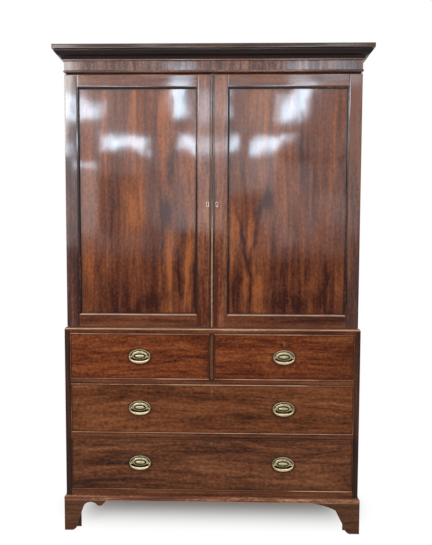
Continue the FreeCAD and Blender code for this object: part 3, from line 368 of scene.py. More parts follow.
def bead_strips(section, x0, x1, z0, z1, y, stations=2):
    """Four mitred strips round a rectangle's inside; out runs inwards and up runs forwards."""
    return [run(section, start, along, out, -Y, length, (-1, -1), grain, stations)
            for start, along, out, length, grain in (
                ((x0, y, z0), X, Z, x1 - x0, GRAIN_X), ((x0, y, z1), X, -Z, x1 - x0, GRAIN_X),
                ((x0, y, z0), Z, X, z1 - z0, GRAIN_Z), ((x1, y, z0), Z, -X, z1 - z0, GRAIN_Z))]


def turned(rows, centre, axis, across, up, count, edge=0.0):
    """A turned or stamped shape: each row is (half width, half height, place on the axis), and
    its ring is an ellipse with those half axes."""
    angle = np.linspace(0, 2 * math.pi, count, endpoint=False)
    rows = np.asarray(rows)
    rings = (np.asarray(centre) + rows[:, 2, None, None] * axis
             + (rows[:, 0, None] * np.cos(angle))[..., None] * across
             + (rows[:, 1, None] * np.sin(angle))[..., None] * up)
    return skin(rings, GRAIN_X, edge)


def rod(start, axis, radius, length):
    """A round bar with eased ends."""
    across, ease = np.cross(axis, Z), 0.4 * MM
    rows = [(radius - ease, radius - ease, 0), (radius, radius, ease),
            (radius, radius, length - ease), (radius - ease, radius - ease, length)]
    return turned(rows, start, axis, across, np.cross(axis, across), 20)


def piece(name, shapes, material, node, bevel=0.0):
    """Puts shapes into one mesh that stands for a CAD node and rides with its body."""
    points, faces, wood, edges, figures = zip(*shapes)
    starts = np.cumsum([0] + [len(part) for part in points]).tolist()
    mesh = bpy.data.meshes.new(name)
    mesh.from_pydata(np.concatenate(points).tolist(), [], [
        [i + start for i in face] for part, start in zip(faces, starts) for face in part])
    mesh.attributes.new("grain", "FLOAT_VECTOR", "POINT").data.foreach_set(
        "vector", np.concatenate(wood).astype(np.float32).ravel())
    for label, values in (("edge", edges), ("figure", figures)):
        mesh.attributes.new(label, "FLOAT", "POINT").data.foreach_set(
            "value", np.concatenate(values).astype(np.float32))
    mesh.shade_smooth()
    mesh.set_sharp_from_angle(angle=SMOOTH_ANGLE)
    mesh.materials.append(material)
    made = bpy.data.objects.new(name, mesh)
    bpy.context.scene.collection.objects.link(made)
    if bevel:
        rounding = made.modifiers.new("arris", "BEVEL")
        rounding.width, rounding.segments, rounding.limit_method = bevel, 2, "ANGLE"
        rounding.angle_limit = math.radians(40)
        rounding.harden_normals = True
    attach(made, node_body[node])
    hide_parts(node)


# ---- Materials ----
def linear(code):
    """An sRGB hex colour as linear red, green, blue and alpha."""
    parts = [int(code[i:i + 2], 16) / 255 for i in (1, 3, 5)]
    return [c / 12.92 if c <= 0.04045 else ((c + 0.055) / 1.055) ** 2.4 for c in parts] + [1.0]


def add(tree, kind, inputs=(), out=0, stops=(), **settings):
    """Adds a shader node with its settings and links, and returns one of its outputs.  inputs
    gives a value, or the output that feeds it, to each socket by name or number, or in order;
    stops gives a colour ramp's places and colours."""
    made = tree.nodes.new("ShaderNode" + kind)
    for key, value in settings.items():
        setattr(made, key, value)
    for key, value in (inputs if isinstance(inputs, dict) else dict(enumerate(inputs))).items():
        if isinstance(value, bpy.types.NodeSocket):
            tree.links.new(value, made.inputs[key])
        else:
            made.inputs[key].default_value = value
    for number, (place, colour) in enumerate(stops):
        ramp = made.color_ramp.elements
        stop = ramp[number] if number < len(ramp) else ramp.new(place)
        stop.position, stop.color = place, linear(colour)
    return made.outputs[out] if made.outputs else None


def new_material(name):
    """A material whose node tree is empty."""
    made = bpy.data.materials.new(name)
    made.use_nodes = True
    made.node_tree.nodes.clear()
    return made, made.node_tree


# Shares of bands, streaks, dashes, flecks and fibres in a wood's tone
STRAIGHT = (0.22, 0.38, 0.16, 0.20, 0.08)
PLAIN = (0.10, 0.44, 0.16, 0.18, 0.08)
SOFT = (0.34, 0.40, 0.15, 0.27, 0.07)
LIVELY = (0.24, 0.27, 0.26, 0.28, 0.08)
PORE_STAIN = "#6a3a28"
# Near-black of wax and dirt in hollows, also used for painted shade and shadow
DIRT_AND_SHADE_TONE = "#1a0d09"
NOISE_ROUGHNESS = 0.58          # how much each finer layer of a noise adds


def mahogany(name, tones, gloss, polish=1.0, sheen=0.1, bands=12.0, streaks=70.0, dashes=8.0,
             weights=STRAIGHT, wander=0.05, stain=0.3, wear_and_shading=1.2, ripple=0.05, spread=1.0):
    """Cuban mahogany, planed along the grain and finished with a clear coat.  The grain wanders
    by some centimetres to the metre, so its bands drift.  tones are its dark, middle, warm and
    light colours: where the layers of grain add up to more the wood is lighter, and a wider
    spread makes it softer.  The coat is shellac or wax of roughness gloss and weight polish,
    pulled by the rubber into slow waves and fine lines along the grain, ripple millimetres
    high.  sheen is the specular level of the wood under it.  Where edge is above 0 the light
    colour shows in patches, as much as the wear and shading argument says: rubbed arrises, and
    on some pieces painted highlights.  Where edge is below 0 the wood goes nearly black: wax and
    dirt in hollows, and on some pieces painted shade and shadow."""
    material, tree = new_material(name)
    wood = add(tree, "Attribute", out="Vector", attribute_name="grain")
    slow = add(tree, "Mapping", {"Vector": wood, "Scale": (1.2, 3.0, 3.0)})
    slow = add(tree, "TexNoise", {"Vector": slow, "Scale": 1.0, "Detail": 1.5}, 1)
    slow = add(tree, "VectorMath", (slow, (0.5, 0.5, 0.5)), operation="SUBTRACT")
    slow = add(tree, "VectorMath", (slow, (0.0, wander, wander)), operation="MULTIPLY")
    bent = add(tree, "VectorMath", (wood, slow), operation="ADD")
    # Each layer's count to the metre along the grain and across it, which is 1000 over its
    # size in millimetres, and its detail.  The sizes named are those of the default counts.
    layer = {}
    for label, source, lengthways, across, detail in (
            # A season's growth to the next, 83 mm wide and 0.9 m long
            ("band", bent, 1.1, bands, 2.0),
            # Vessels that run together, 14 mm
            ("streak", bent, 2.2, streaks, 3.0),
            # Interlocked grain, 125 by 8 mm
            ("dash", bent, dashes, streaks * 1.7, 3.0),
            # Open pores, 0.2 mm wide and too fine to show: drawn as flecks of 14 by 5 mm
            ("fleck", bent, dashes * 9, streaks * 2.6, 2.0),
            # Fibres, 0.1 mm wide and too fine to show: drawn in bundles of 1.3 mm
            ("fibre", bent, 26.0, 800.0, 2.0),
            # Torn edges of a crotch's figure, 200 by 10 mm
            ("flame", bent, 5.0, 95.0, 4.0),
            # Stain sunk in soft wood, 114 by 11 mm
            ("stain", bent, dashes * 1.1, streaks * 1.3, 3.0),
            # Pores filled with stain, 10 by 0.2 mm: drawn 17 by 0.4 mm, to show near by
            ("pore", bent, 60.0, 2300.0, 1.0),
            # Where hands and dusters rubbed, 71 by 25 mm
            ("patchy", wood, 14.0, 40.0, 3.0),
            # Smears left on the wood under the coat, 170 by 56 mm
            ("smear", wood, 6.0, 18.0, 3.0),
            # The rubber's slow pull, 250 by 71 mm, and its fine lines, 8 mm apart
            ("pull", wood, 4.0, 14.0, 2.0),
            ("line", wood, 2.0, 130.0, 2.0)):
        place = add(tree, "Mapping", {"Vector": source, "Scale": (lengthways, across, across)})
        layer[label] = add(tree, "TexNoise", {"Vector": place, "Scale": 1.0, "Detail": detail,
                                              "Roughness": NOISE_ROUGHNESS})
    tone = 0.5 - sum(weights) / 2
    for label, share in zip(("band", "streak", "dash", "fleck", "fibre"), weights):
        tone = add(tree, "Math", (layer[label], share, tone), operation="MULTIPLY_ADD")
    edge = add(tree, "Attribute", out="Fac", attribute_name="edge")
    figure = add(tree, "Attribute", out="Fac", attribute_name="figure")
    torn = add(tree, "Math", (layer["flame"], 0.30, -0.03), operation="MULTIPLY_ADD")
    tone = add(tree, "Math", (figure, torn, tone), operation="MULTIPLY_ADD")
    dark, middle, warm, light = tones
    colour = add(tree, "ValToRGB", (tone,), stops=[
        (0.5 + place * spread, tint) for place, tint in
        ((-0.11, dark), (0.13, light), (-0.03, middle), (0.03, warm))])
    for label, low, high, most in (("stain", 0.57, 0.70, stain), ("pore", 0.58, 0.72, 0.5)):
        filled = add(tree, "MapRange", {"Value": layer[label], "From Min": low,
                                        "From Max": high, "To Min": 0.0, "To Max": most})
        colour = add(tree, "Mix", {0: filled, 6: colour, 7: linear(PORE_STAIN)}, 2,
                     data_type="RGBA", blend_type="MULTIPLY")
    # Above 0, edge brings in the light colour: rubbing, and painted highlights.  Below 0, it brings
    # in the near-black: dirt, and painted shade and shadow.
    worn = add(tree, "Math", (layer["patchy"], wear_and_shading), operation="MULTIPLY")
    for rate, over in ((worn, light), (-0.9, DIRT_AND_SHADE_TONE)):
        amount = add(tree, "Math", (edge, rate), operation="MULTIPLY", use_clamp=True)
        colour = add(tree, "Mix", {0: amount, 6: colour, 7: linear(over)}, 2, data_type="RGBA")
    roughness = add(tree, "Math", (layer["smear"], 0.22, 0.30), operation="MULTIPLY_ADD")
    height = add(tree, "Math", (layer["line"], ripple * 0.2), operation="MULTIPLY")
    height = add(tree, "Math", (layer["pull"], ripple * 1.5, height), operation="MULTIPLY_ADD")
    bump = add(tree, "Bump", {"Height": height, "Strength": 1.0, "Distance": MM})
    shader = add(tree, "BsdfPrincipled", {
        "Base Color": colour, "Roughness": roughness, "IOR": 1.5, "Specular IOR Level": sheen,
        "Coat Weight": polish, "Coat Roughness": gloss, "Coat IOR": 1.5,
        "Normal": bump, "Coat Normal": bump})
    add(tree, "OutputMaterial", (shader,))
    return material


def bare_wood(name, tones, rings, roughness, along=None):
    """Planed wood with no finish.  Its growth rings, cut lengthways, show as long stripes of
    early and late wood, and dust greys it in patches.  tones are dark, middle and light, and
    rings is the rings' count to the metre.  A CAD node has no grain of its own, so there the
    object's coordinates are turned to run along the given axis."""
    material, tree = new_material(name)
    if along is None:
        wood = add(tree, "Attribute", out="Vector", attribute_name="grain")
    else:
        place = add(tree, "TexCoord", out="Object")
        wood = add(tree, "CombineXYZ", [add(tree, "SeparateXYZ", [place], (along + k) % 3)
                                        for k in range(3)])
    layer = {}
    for label, lengthways, across, detail in (
            ("slow", 1.3, 9.0, 2.0),            # the plank's own light and dark, 110 mm
            ("stripe", 1.5, rings, 3.0),        # rings cut at a slant, 11 or 18 mm
            ("fine", 16.0, 620.0, 3.0),         # early and late wood, 1.6 mm
            ("dust", 5.0, 7.0, 4.0)):           # patches of 200 mm
        place = add(tree, "Mapping", {"Vector": wood, "Scale": (lengthways, across, across)})
        layer[label] = add(tree, "TexNoise", {"Vector": place, "Scale": 1.0, "Detail": detail,
                                              "Roughness": NOISE_ROUGHNESS})
    tone = 0.0
    for label, share in (("slow", 0.2), ("stripe", 0.55), ("fine", 0.25)):
        tone = add(tree, "Math", (layer[label], share, tone), operation="MULTIPLY_ADD")
    dark, middle, light = tones
    colour = add(tree, "ValToRGB", (tone,), stops=((0.36, dark), (0.64, light), (0.5, middle)))
    dust = add(tree, "MapRange", {"Value": layer["dust"], "From Min": 0.45, "From Max": 0.75,
                                  "To Min": 0.0, "To Max": 0.35})
    colour = add(tree, "Mix", {0: dust, 6: colour, 7: linear("#8a7a66")}, 2, data_type="RGBA")
    bump = add(tree, "Bump", {"Height": layer["fine"], "Strength": 0.5, "Distance": 0.15 * MM})
    shader = add(tree, "BsdfPrincipled", {"Base Color": colour, "Roughness": roughness,
                                          "IOR": 1.45, "Normal": bump})
    add(tree, "OutputMaterial", (shader,))
    return material


def brass(name, bright, tarnish, share, roughness):
    """Old brass: bright where fingers rub it, brown or olive in patches where the lacquer has
    gone, up to the given share, and black where edge is below 0: dirt and dried polish in the
    hollows, and painted shade on the lower half of a plate's ring and inside keyholes."""
    material, tree = new_material(name)
    place = add(tree, "TexCoord", out="Object")
    cloud, speck = [add(tree, "TexNoise", {"Vector": place, "Scale": count, "Detail": detail,
                                           "Roughness": NOISE_ROUGHNESS})
                    for count, detail in ((90.0, 4.0), (700.0, 2.0))]   # 11 mm and 1.4 mm
    edge = add(tree, "Attribute", out="Fac", attribute_name="edge")
    amount = add(tree, "MapRange", {"Value": cloud, "From Min": 0.35, "From Max": 0.68,
                                    "To Min": 0.0, "To Max": share})
    colour = add(tree, "Mix", {0: amount, 6: linear(bright), 7: linear(tarnish)}, 2,
                 data_type="RGBA")
    # Black where edge is below 0: dirt in hollows, and painted shade.
    dirt_and_shade = add(tree, "Math", (edge, -0.95), operation="MULTIPLY", use_clamp=True)
    colour = add(tree, "Mix", {0: dirt_and_shade, 6: colour, 7: linear("#14100a")}, 2, data_type="RGBA")
    rough = add(tree, "Math", (speck, 0.12, roughness - 0.06), operation="MULTIPLY_ADD")
    rough = add(tree, "Math", (amount, 0.25, rough), operation="MULTIPLY_ADD")
    bump = add(tree, "Bump", {"Height": speck, "Strength": 0.2, "Distance": 0.1 * MM})
    shader = add(tree, "BsdfPrincipled", {"Base Color": colour, "Metallic": 1.0,
                                          "Roughness": rough, "Normal": bump})
    add(tree, "OutputMaterial", (shader,))
    return material


# The doors: mahogany under French polish, which is shellac rubbed on in many thin coats until
# it is a clear mirror, so the room shows in it over the wood.  The hinge stiles are dark and
# straight-grained, the meeting stiles paler and plain, the rails redder with level grain.
outer_polish = mahogany("french_polished_mahogany_outer_stiles",
                        ("#30130e", "#462115", "#582e1d", "#74462e"), 0.07,
                        streaks=50.0, spread=0.65)
meeting_polish = mahogany("french_polished_mahogany_meeting_stiles",
                          ("#542414", "#723e26", "#824b31", "#9a613b"), 0.08,
                          weights=PLAIN, streaks=42.0, spread=0.6)
rail_polish = mahogany("french_polished_mahogany_rails",
                       ("#3d1a0c", "#5e301b", "#703e24", "#895430"), 0.08,
                       streaks=52.0, spread=0.9)
# The panels: wide boards sawn through a crotch and polished like the frames.  Their figure
# goes from nearly black to orange under the same mirror.
panel_polish = mahogany("french_polished_figured_mahogany",
                        ("#3b150b", "#61311a", "#764023", "#a15c30"), 0.06,
                        weights=SOFT, streaks=40.0, ripple=0.06, stain=0.35, spread=1.25)
# The beads round the panels: planed with a moulding plane and stained nearly black.  Their pale
# crest colour is used on the lower bead as rubbing by dusters and a painted highlight.
bead_polish = mahogany("dark_polished_mahogany_bead",
                       ("#1c0c08", "#2f1810", "#3f2118", "#b58a74"), 0.14, 0.6, wear_and_shading=1.7)
# The frieze: veneer laid across, so its short stripes stand upright under softer polish.
frieze_polish = mahogany("french_polished_crossbanded_mahogany",
                         ("#341710", "#542e23", "#69402e", "#8b5f49"), 0.10,
                         bands=26.0, streaks=48.0, dashes=14.0, stain=0.5, spread=0.55)
# The cornice: shellac over nearly black stain.  The crown still shines, and dust has dulled
# the ogee under it; its near-black tone is partly the stain and partly painted shade under the
# crown.
crown_polish = mahogany("dark_polished_mahogany_crown",
                        ("#301f18", "#3f2b20", "#4b3226", "#614433"), 0.12, 0.5)
bed_polish = mahogany("black_polished_mahogany_ogee",
                      ("#100707", "#1a0c0c", "#201010", "#2f1c19"), 0.25, 0.15, 0.15)
# The case and the chest: oiled and waxed by hand, with hardly any film, so they have a low
# sheen and no mirror, and stain has sunk into a livelier grain.
WAXED = {"gloss": 0.25, "polish": 0.08}
case_polish = mahogany("waxed_mahogany_case", ("#37190c", "#5e301b", "#723f24", "#8c5734"),
                       **WAXED, sheen=0.12, spread=0.8)
short_polish = mahogany("waxed_red_mahogany_drawers",
                        ("#3d1304", "#662e11", "#7d3e1b", "#9e5c30"), **WAXED, bands=16.0,
                        streaks=50.0, dashes=9.0, weights=LIVELY, wander=0.10, stain=0.6)
long_polish = mahogany("waxed_brown_mahogany_drawers",
                       ("#39190a", "#613417", "#784324", "#976139"), **WAXED, bands=13.0,
                       streaks=42.0, dashes=7.0, weights=LIVELY, wander=0.16, stain=0.5,
                       spread=1.15)
low_polish = mahogany("waxed_dark_mahogany_drawer",
                      ("#33180b", "#56301b", "#6b3d24", "#895837"), **WAXED, bands=9.0,
                      streaks=42.0, dashes=7.0, weights=LIVELY, wander=0.14, stain=0.5,
                      spread=0.95)
# The mouldings and cockbeads: waxed too, and pale along their noses, where hands and cloths
# rubbed them and where highlights are painted on.
moulding_polish = mahogany("rubbed_and_highlit_mahogany_mouldings",
                           ("#472312", "#6c3b21", "#814b2c", "#c99c7c"), 0.25, 0.12, 0.2,
                           wear_and_shading=1.9)
# The feet: waxed once and kicked and mopped since, so they are the dullest.
foot_polish = mahogany("waxed_mahogany_feet", ("#341e10", "#4e301d", "#5e3b26", "#785036"),
                       0.3, 0.06)
# The handles: thin stamped plates, still lacquered and olive in the shade, and cast bows that
# fingers keep bright.
plate_brass = brass("lacquered_stamped_brass", "#c9bb95", "#6c6349", 0.6, 0.32)
bow_brass = brass("rubbed_cast_brass", "#d8c29a", "#8a7855", 0.5, 0.33)
# Linings and locks: cast and filed, dull and pinkish with age.
lining_brass = brass("dull_cast_brass", "#d4b49c", "#84644f", 0.5, 0.42)
# The doors' hinge leaves and lock: cast, filed flat, worn by the screwdriver and cleaned.
door_brass = brass("worn_cast_brass", "#dcc6ae", "#9a8068", 0.45, 0.45)
# Bolts and the astragal: drawn rod and strip, never lacquered, so mostly brown.
dark_brass = brass("tarnished_drawn_brass", "#c4ab8a", "#6a5c46", 0.7, 0.40)
# Backs and inner boards: planed pine, yellow-brown and matt, its rings 18 mm apart.
PINE = (("#6f4a2a", "#966a40", "#b48a5a"), 55.0, 0.75)
pine_upright = bare_wood("planed_pine", *PINE)
pine_case = bare_wood("planed_pine_x", *PINE, GRAIN_X)
# Drawer boxes and trays: planed oak, closer-grained and a little smoother from use.
OAK = (("#6a4a2c", "#8a6540", "#a88258"), 90.0, 0.6)
oak_side = bare_wood("planed_oak_y", *OAK, GRAIN_Y)
oak_tray = bare_wood("planed_oak_x", *OAK, GRAIN_X)


# ---- Sizes that the pieces share ----
def span(node):
    """Lowest and highest corner of a CAD node."""
    low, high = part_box(node)
    return np.array(low), np.array(high)


PROUD_LEAF = 0.2 * MM           # brass let into wood stands this far proud of it
FRIEZE_THICK = 28 * MM
FRIEZE_BEAD = 3 * MM
FRIEZE_BEAD_TALL = 9 * MM
cornice_low, cornice_high = span("cornice_moulding")
frieze_low, frieze_high = span("frieze")
upper_low, upper_high = span("upper_side_right")
upper_half = float(upper_high[0])
back_y = float(cornice_high[1])
frieze_y = float(frieze_low[1]) + FRIEZE_BEAD


# ---- Cornice and frieze ----
def three_sides(section, half, face_y, base_z):
    """A moulding along the front and both sides, mitred at the front corners."""
    deep = back_y - face_y
    return [run(section, (-half, face_y, base_z), X, -Y, Z, 2 * half, (1, 1), GRAIN_X),
            run(section, (half, face_y, base_z), Y, X, Z, deep, (1, 0), GRAIN_Y),
            run(section, (-half, face_y, base_z), Y, -X, Z, deep, (1, 0), GRAIN_Y)]


def make_cornice():
    """A square fillet, finished with the frieze.  The bed moulding over it is an ogee and a
    bead, and the crown a groove and a deep square fascia with an eased top.  The sections are
    in millimetres out from the frieze and up from its top."""
    rear, step, split = -FRIEZE_THICK / MM, 5, 34
    fillet = [(rear, 0), (step, 0), (step, step), (rear, step)]
    bed = [(rear, step), (6, step)] + arc((6, step), (18.25, 16.75), 2.4, 5)
    bed += arc((18.25, 16.75), (30.5, 28.5), -2.4, 5) + [(31.2, 28.5)]
    bed += arc((31.2, 28.5), (31.2, split), -2.2, 6) + [(rear, split)]
    crown = [(rear, split), (29.5, split), (29.5, 37.5), (39, 37.5), (39, 54), (38, 55),
             (rear, 55)]
    for name, section, polish in (("fillet", fillet, frieze_polish), ("bed", bed, bed_polish),
                                  ("crown", crown, crown_polish)):
        section = eased(np.array(section) * MM, 0.5 * MM)
        piece("cornice_" + name, three_sides(section, upper_half, frieze_y, cornice_low[2]),
              polish, "cornice_moulding")


def make_frieze():
    """Cross-banded boards: the veneer's grain stands upright.  A half-round bead is planted
    along their foot."""
    tall = frieze_high[2] - frieze_low[2]
    plank = eased([(-FRIEZE_THICK, 0), (0, 0), (0, tall), (-FRIEZE_THICK, tall)], 0.4 * MM)
    boards = three_sides(plank, upper_half, frieze_y, frieze_low[2])
    boards = [(points, faces, points[:, [2, 0, 1]] + draw.uniform(-9, 9, 3), edge, figure)
              for points, faces, _, edge, figure in boards]
    bead = [(0, 0)] + arc((0, 0), (0, FRIEZE_BEAD_TALL), -FRIEZE_BEAD, 10)
    bead = (np.array(bead), np.zeros(len(bead)))
    beads = three_sides(bead, upper_half, frieze_y, frieze_low[2])
    piece("frieze_boards", boards, frieze_polish, "frieze")
    piece("frieze_bead", beads, frieze_polish, "frieze")


# ---- Cupboard ----
def make_upper_case():
    """The sides' front edges stay behind the hinge leaves that are let into them."""
    for side in ("left", "right"):
        low, high = span("upper_side_" + side)
        low[1] += PROUD_LEAF
        piece("cupboard_side_" + side, [board(low, high, GRAIN_Z)], case_polish,
              "upper_side_" + side)


BACK_GAP = 0.5 * MM             # half the gap that shrinking has left between two boards


def make_backs():
    """Butted pine boards: upright ones behind the cupboard and level ones behind the chest."""
    for name, node, count, axis, grain in (
            ("cupboard_back", "upper_back_boards", 5, 0, GRAIN_Z),
            ("chest_back", "chest_back_boards", 3, 2, GRAIN_X)):
        low, high = span(node)
        cuts = np.linspace(low[axis], high[axis], count + 1)
        boards = []
        for start, end in zip(cuts[:-1], cuts[1:]):
            low[axis], high[axis] = start + BACK_GAP, end - BACK_GAP
            boards.append(board(low, high, grain, 1.2 * MM))
        piece(name, boards, pine_upright, node)


STILE = 52.5 * MM
DOOR_RAIL = 50 * MM
PANEL_EDGE = 63 * MM            # from the press's middle to the panel
DOOR_BEAD = 8 * MM
PANEL_RECESS = 9 * MM
JOINT_GAP = 0.06 * MM           # the fine line where a rail meets a stile
DOOR_KEY_PLACE = (19.4 * MM, 1412.6 * MM)
HINGE_STILE_LIGHT_RAMP = {"left": (-0.3, 0.35), "right": (0.0, 1.0)}  # foot and head: painted light, the hinge stiles grow lighter towards the head
BOLT_SLOT = {"left": 7.8 * MM, "right": 35 * MM}    # how far into each meeting edge it goes
BOLT_WIDE = 16.4 * MM
BOLT_THICK = 5.4 * MM
LOCK_WIDE = 56 * MM
LOCK_BELOW = 16 * MM
LOCK_DEEP = 9 * MM
PANEL_DIRT_AND_SHADE = (-0.9, 6 * MM)    # how dark the panel is painted by its bead, as dirt and the shade of the groove, and how far that fades

# The flames of the panels' figure: middle (x, z), half width and half height in millimetres,
# strength, and for some of them lean and slope
FLAMES = {
    "left": ((-182, 1366, 26, 60, -2.2), (-175, 1554, 14, 85, -1.4, 0.1),
             (-205, 1790, 36, 200, 1.1), (-184, 1137, 24, 160, 0.9),
             (-212, 1195, 6, 130, -0.9), (-143, 1110, 13, 110, -1.1),
             (-102, 1180, 18, 110, 1.4, 0.05), (-115, 1316, 18, 50, -1.1),
             (-74, 1087, 12, 110, -1.3), (-115, 1030, 14, 70, 1.0),
             (-275, 985, 100, 40, -1.2, 0.0, 0.5), (-438, 1145, 20, 110, 0.8),
             (-525, 1137, 18, 110, 0.6), (-477, 1095, 8, 130, -0.7),
             (-425, 1412, 8, 130, -0.9), (-330, 1400, 50, 110, 1.0),
             (-369, 1030, 11, 70, -0.6), (-545, 1010, 20, 60, -0.5)),
    "right": ((220, 1412, 22, 52, -2.0, 0.25), (94, 1290, 28, 115, 1.45),
              (132, 1254, 8, 120, -1.4, -0.22), (179, 1258, 9, 115, -1.1, 0.21),
              (157, 1304, 18, 70, 1.0), (163, 1062, 8, 100, -0.9), (83, 1150, 10, 90, 0.9),
              (95, 1040, 17, 90, -1.4), (137, 1050, 11, 100, 1.0), (190, 1070, 15, 100, 0.8),
              (365, 995, 140, 40, -1.2), (344, 1140, 150, 60, -0.5),
              (532, 1060, 16, 110, 0.8), (481, 1095, 10, 120, -0.9),
              (447, 1154, 12, 100, 0.6), (178, 1804, 24, 130, 1.0),
              (374, 1620, 22, 90, -1.1), (549, 1504, 10, 200, -1.2))}
KNOT = (0.318, 1.000, 60 * MM, 19 * MM)      # x, z, reach and ring spacing


def panel_warp(sign):
    """A wide old panel is never flat: it waves by fractions of a millimetre, by three sine waves
    added together."""
    def warp(points):
        x, z = points[:, 0] * sign, points[:, 2]
        wave = (0.16 * np.sin(x * 21 + 1.3 * sign) * np.sin(z * 9.0 + 0.7)
                + 0.07 * np.sin(x * 47 + z * 6 + sign) + 0.05 * np.sin(z * 31 + x * 9))
        moved = points.copy()
        moved[:, 1] += wave * MM
        return moved
    return warp


def panel_figure(side, points):
    """Crotch figure: soft flames added together.  Each is a bell over an ellipse whose long axis
    leans and whose short one slopes, seen through slow waves so that no edge is regular.  The
    right panel has a small knot too: a cosine of the distance from it, fading with distance."""
    flames = np.array([row + (0.0,) * (7 - len(row)) for row in FLAMES[side]])
    middle_x, middle_z, half_wide, half_tall = flames[:, :4].T * MM
    strength, lean, slope = flames[:, 4:].T
    x, z = points[:, 0, None], points[:, 2, None]
    x = x + 4 * MM * np.sin(z * 31 + x * 17) + 2.5 * MM * np.sin(z * 83 + 1.7)
    z = z + 14 * MM * np.sin(x * 52 + 0.6) + 8 * MM * np.sin(x * 131)
    x, z = x - middle_x, z - middle_z
    across, along = (x - lean * z) / half_wide, (z - slope * x) / half_tall
    total = (strength * np.exp(-(across ** 2 + along ** 2) * 0.9)).sum(1)
    if side == "right":
        knot_x, knot_z, reach, spacing = KNOT
        away = np.hypot(points[:, 0] - knot_x, 1.3 * (points[:, 2] - knot_z))
        total += 0.5 * np.cos(2 * math.pi * away / spacing) * np.exp(-(away / reach) ** 2)
    return total


def make_door(side, sign):
    """Two stiles and two rails, a panel with dirt and painted shade by its edges, and four bead
    strips round it: the lower one's crest is painted bright, as rubbed and lit from above, and the
    other three are painted dark, as shade.  The bolt's slot is cut in the meeting edge."""
    frame_node = "door_%s_frame" % side
    low, high = span(frame_node)
    front, back = float(low[1]), float(high[1]) - PROUD_LEAF
    z0, z1 = float(low[2]), float(high[2])
    meeting = float(min(abs(low[0]), abs(high[0]))) * (1 if sign < 0 else -1) + PROUD_LEAF
    outer = upper_half - STILE
    rail_x = (PANEL_EDGE + JOINT_GAP, outer - JOINT_GAP)

    key_x, key_z = DOOR_KEY_PLACE
    bolt_y = float(high[1]) - LOCK_DEEP / 2
    slot = (0, 0 if sign > 0 else -1, (bolt_y - BOLT_THICK / 2, bolt_y + BOLT_THICK / 2),
            (key_z - BOLT_WIDE / 2, key_z + BOLT_WIDE / 2), BOLT_SLOT[side])
    cuts = {"keyhole": (sign * key_x, key_z, DOOR_KEY), "pockets": [slot]}
    for label, ends, bottom, top, grain, polish, cut in (
            ("meeting_stile", (meeting, PANEL_EDGE), z0, z1, GRAIN_Z, meeting_polish, cuts),
            ("hinge_stile", (outer, upper_half), z0, z1, GRAIN_Z, outer_polish, {}),
            ("bottom_rail", rail_x, z0, z0 + DOOR_RAIL, GRAIN_X, rail_polish, {}),
            ("top_rail", rail_x, z1 - DOOR_RAIL, z1, GRAIN_X, rail_polish, {})):
        a, b = sorted(sign * x for x in ends)
        shape = board((a, front, bottom), (b, back, top), grain, 0.35 * MM, (3, 2, 3),
                      wear_and_shading=-0.35, **cut)
        # Painted light: the hinge stile grows lighter towards its head, as if lit more strongly
        # there.
        if label == "hinge_stile":
            shape = marked(shape, figure=np.interp(shape[0][:, 2], (z0, z1),
                                                   HINGE_STILE_LIGHT_RAMP[side]))
        piece("door_%s_%s" % (label, side), [shape], polish, frame_node)

    panel_node = "door_%s_panel" % side
    panel = board(*span(panel_node), GRAIN_Z, 0.5 * MM, (110, 2, 150), warp=panel_warp(sign))
    x, z = np.abs(panel[0][:, 0]), panel[0][:, 2]
    inset = np.minimum(np.minimum(x - PANEL_EDGE, outer - x),
                       np.minimum(z - z0 - DOOR_RAIL, z1 - DOOR_RAIL - z))
    # Dirt and painted shade: the panel darkens towards its bead.
    most, fade = PANEL_DIRT_AND_SHADE
    dirt_and_edge_shade = most * np.clip(1 - (inset - DOOR_BEAD) / fade, 0, 1)
    piece("door_panel_" + side, [marked(panel, dirt_and_edge_shade, panel_figure(side, panel[0]))],
          panel_polish, panel_node)

    edge, foot = DOOR_BEAD / MM, -PANEL_RECESS / MM - 0.4
    section = [(0, foot), (0, -0.5), (1.6, -0.5), (1.6, -1.6)]
    section += arc((1.6, -1.6), (7, -7.6), 1.5, 8) + [(edge, -7.6), (edge, foot)]
    outline, _ = eased(np.array(section) * MM, 0.35 * MM, 2 * MM)
    crest = np.where(outline[:, 0] < 6 * MM, 1.0, 0.0)
    x0, x1 = sorted((sign * PANEL_EDGE, sign * outer))
    strips = bead_strips((outline, crest), x0, x1, z0 + DOOR_RAIL, z1 - DOOR_RAIL, front)
    # The lower strip's crest is painted bright, as rubbed and lit from above; the other three are
    # painted dark, as shade.
    strips = strips[:1] + [marked(strip, -0.5 * strip[3]) for strip in strips[1:]]
    piece("door_bead_" + side, strips, bead_polish, "door_%s_bead" % side)


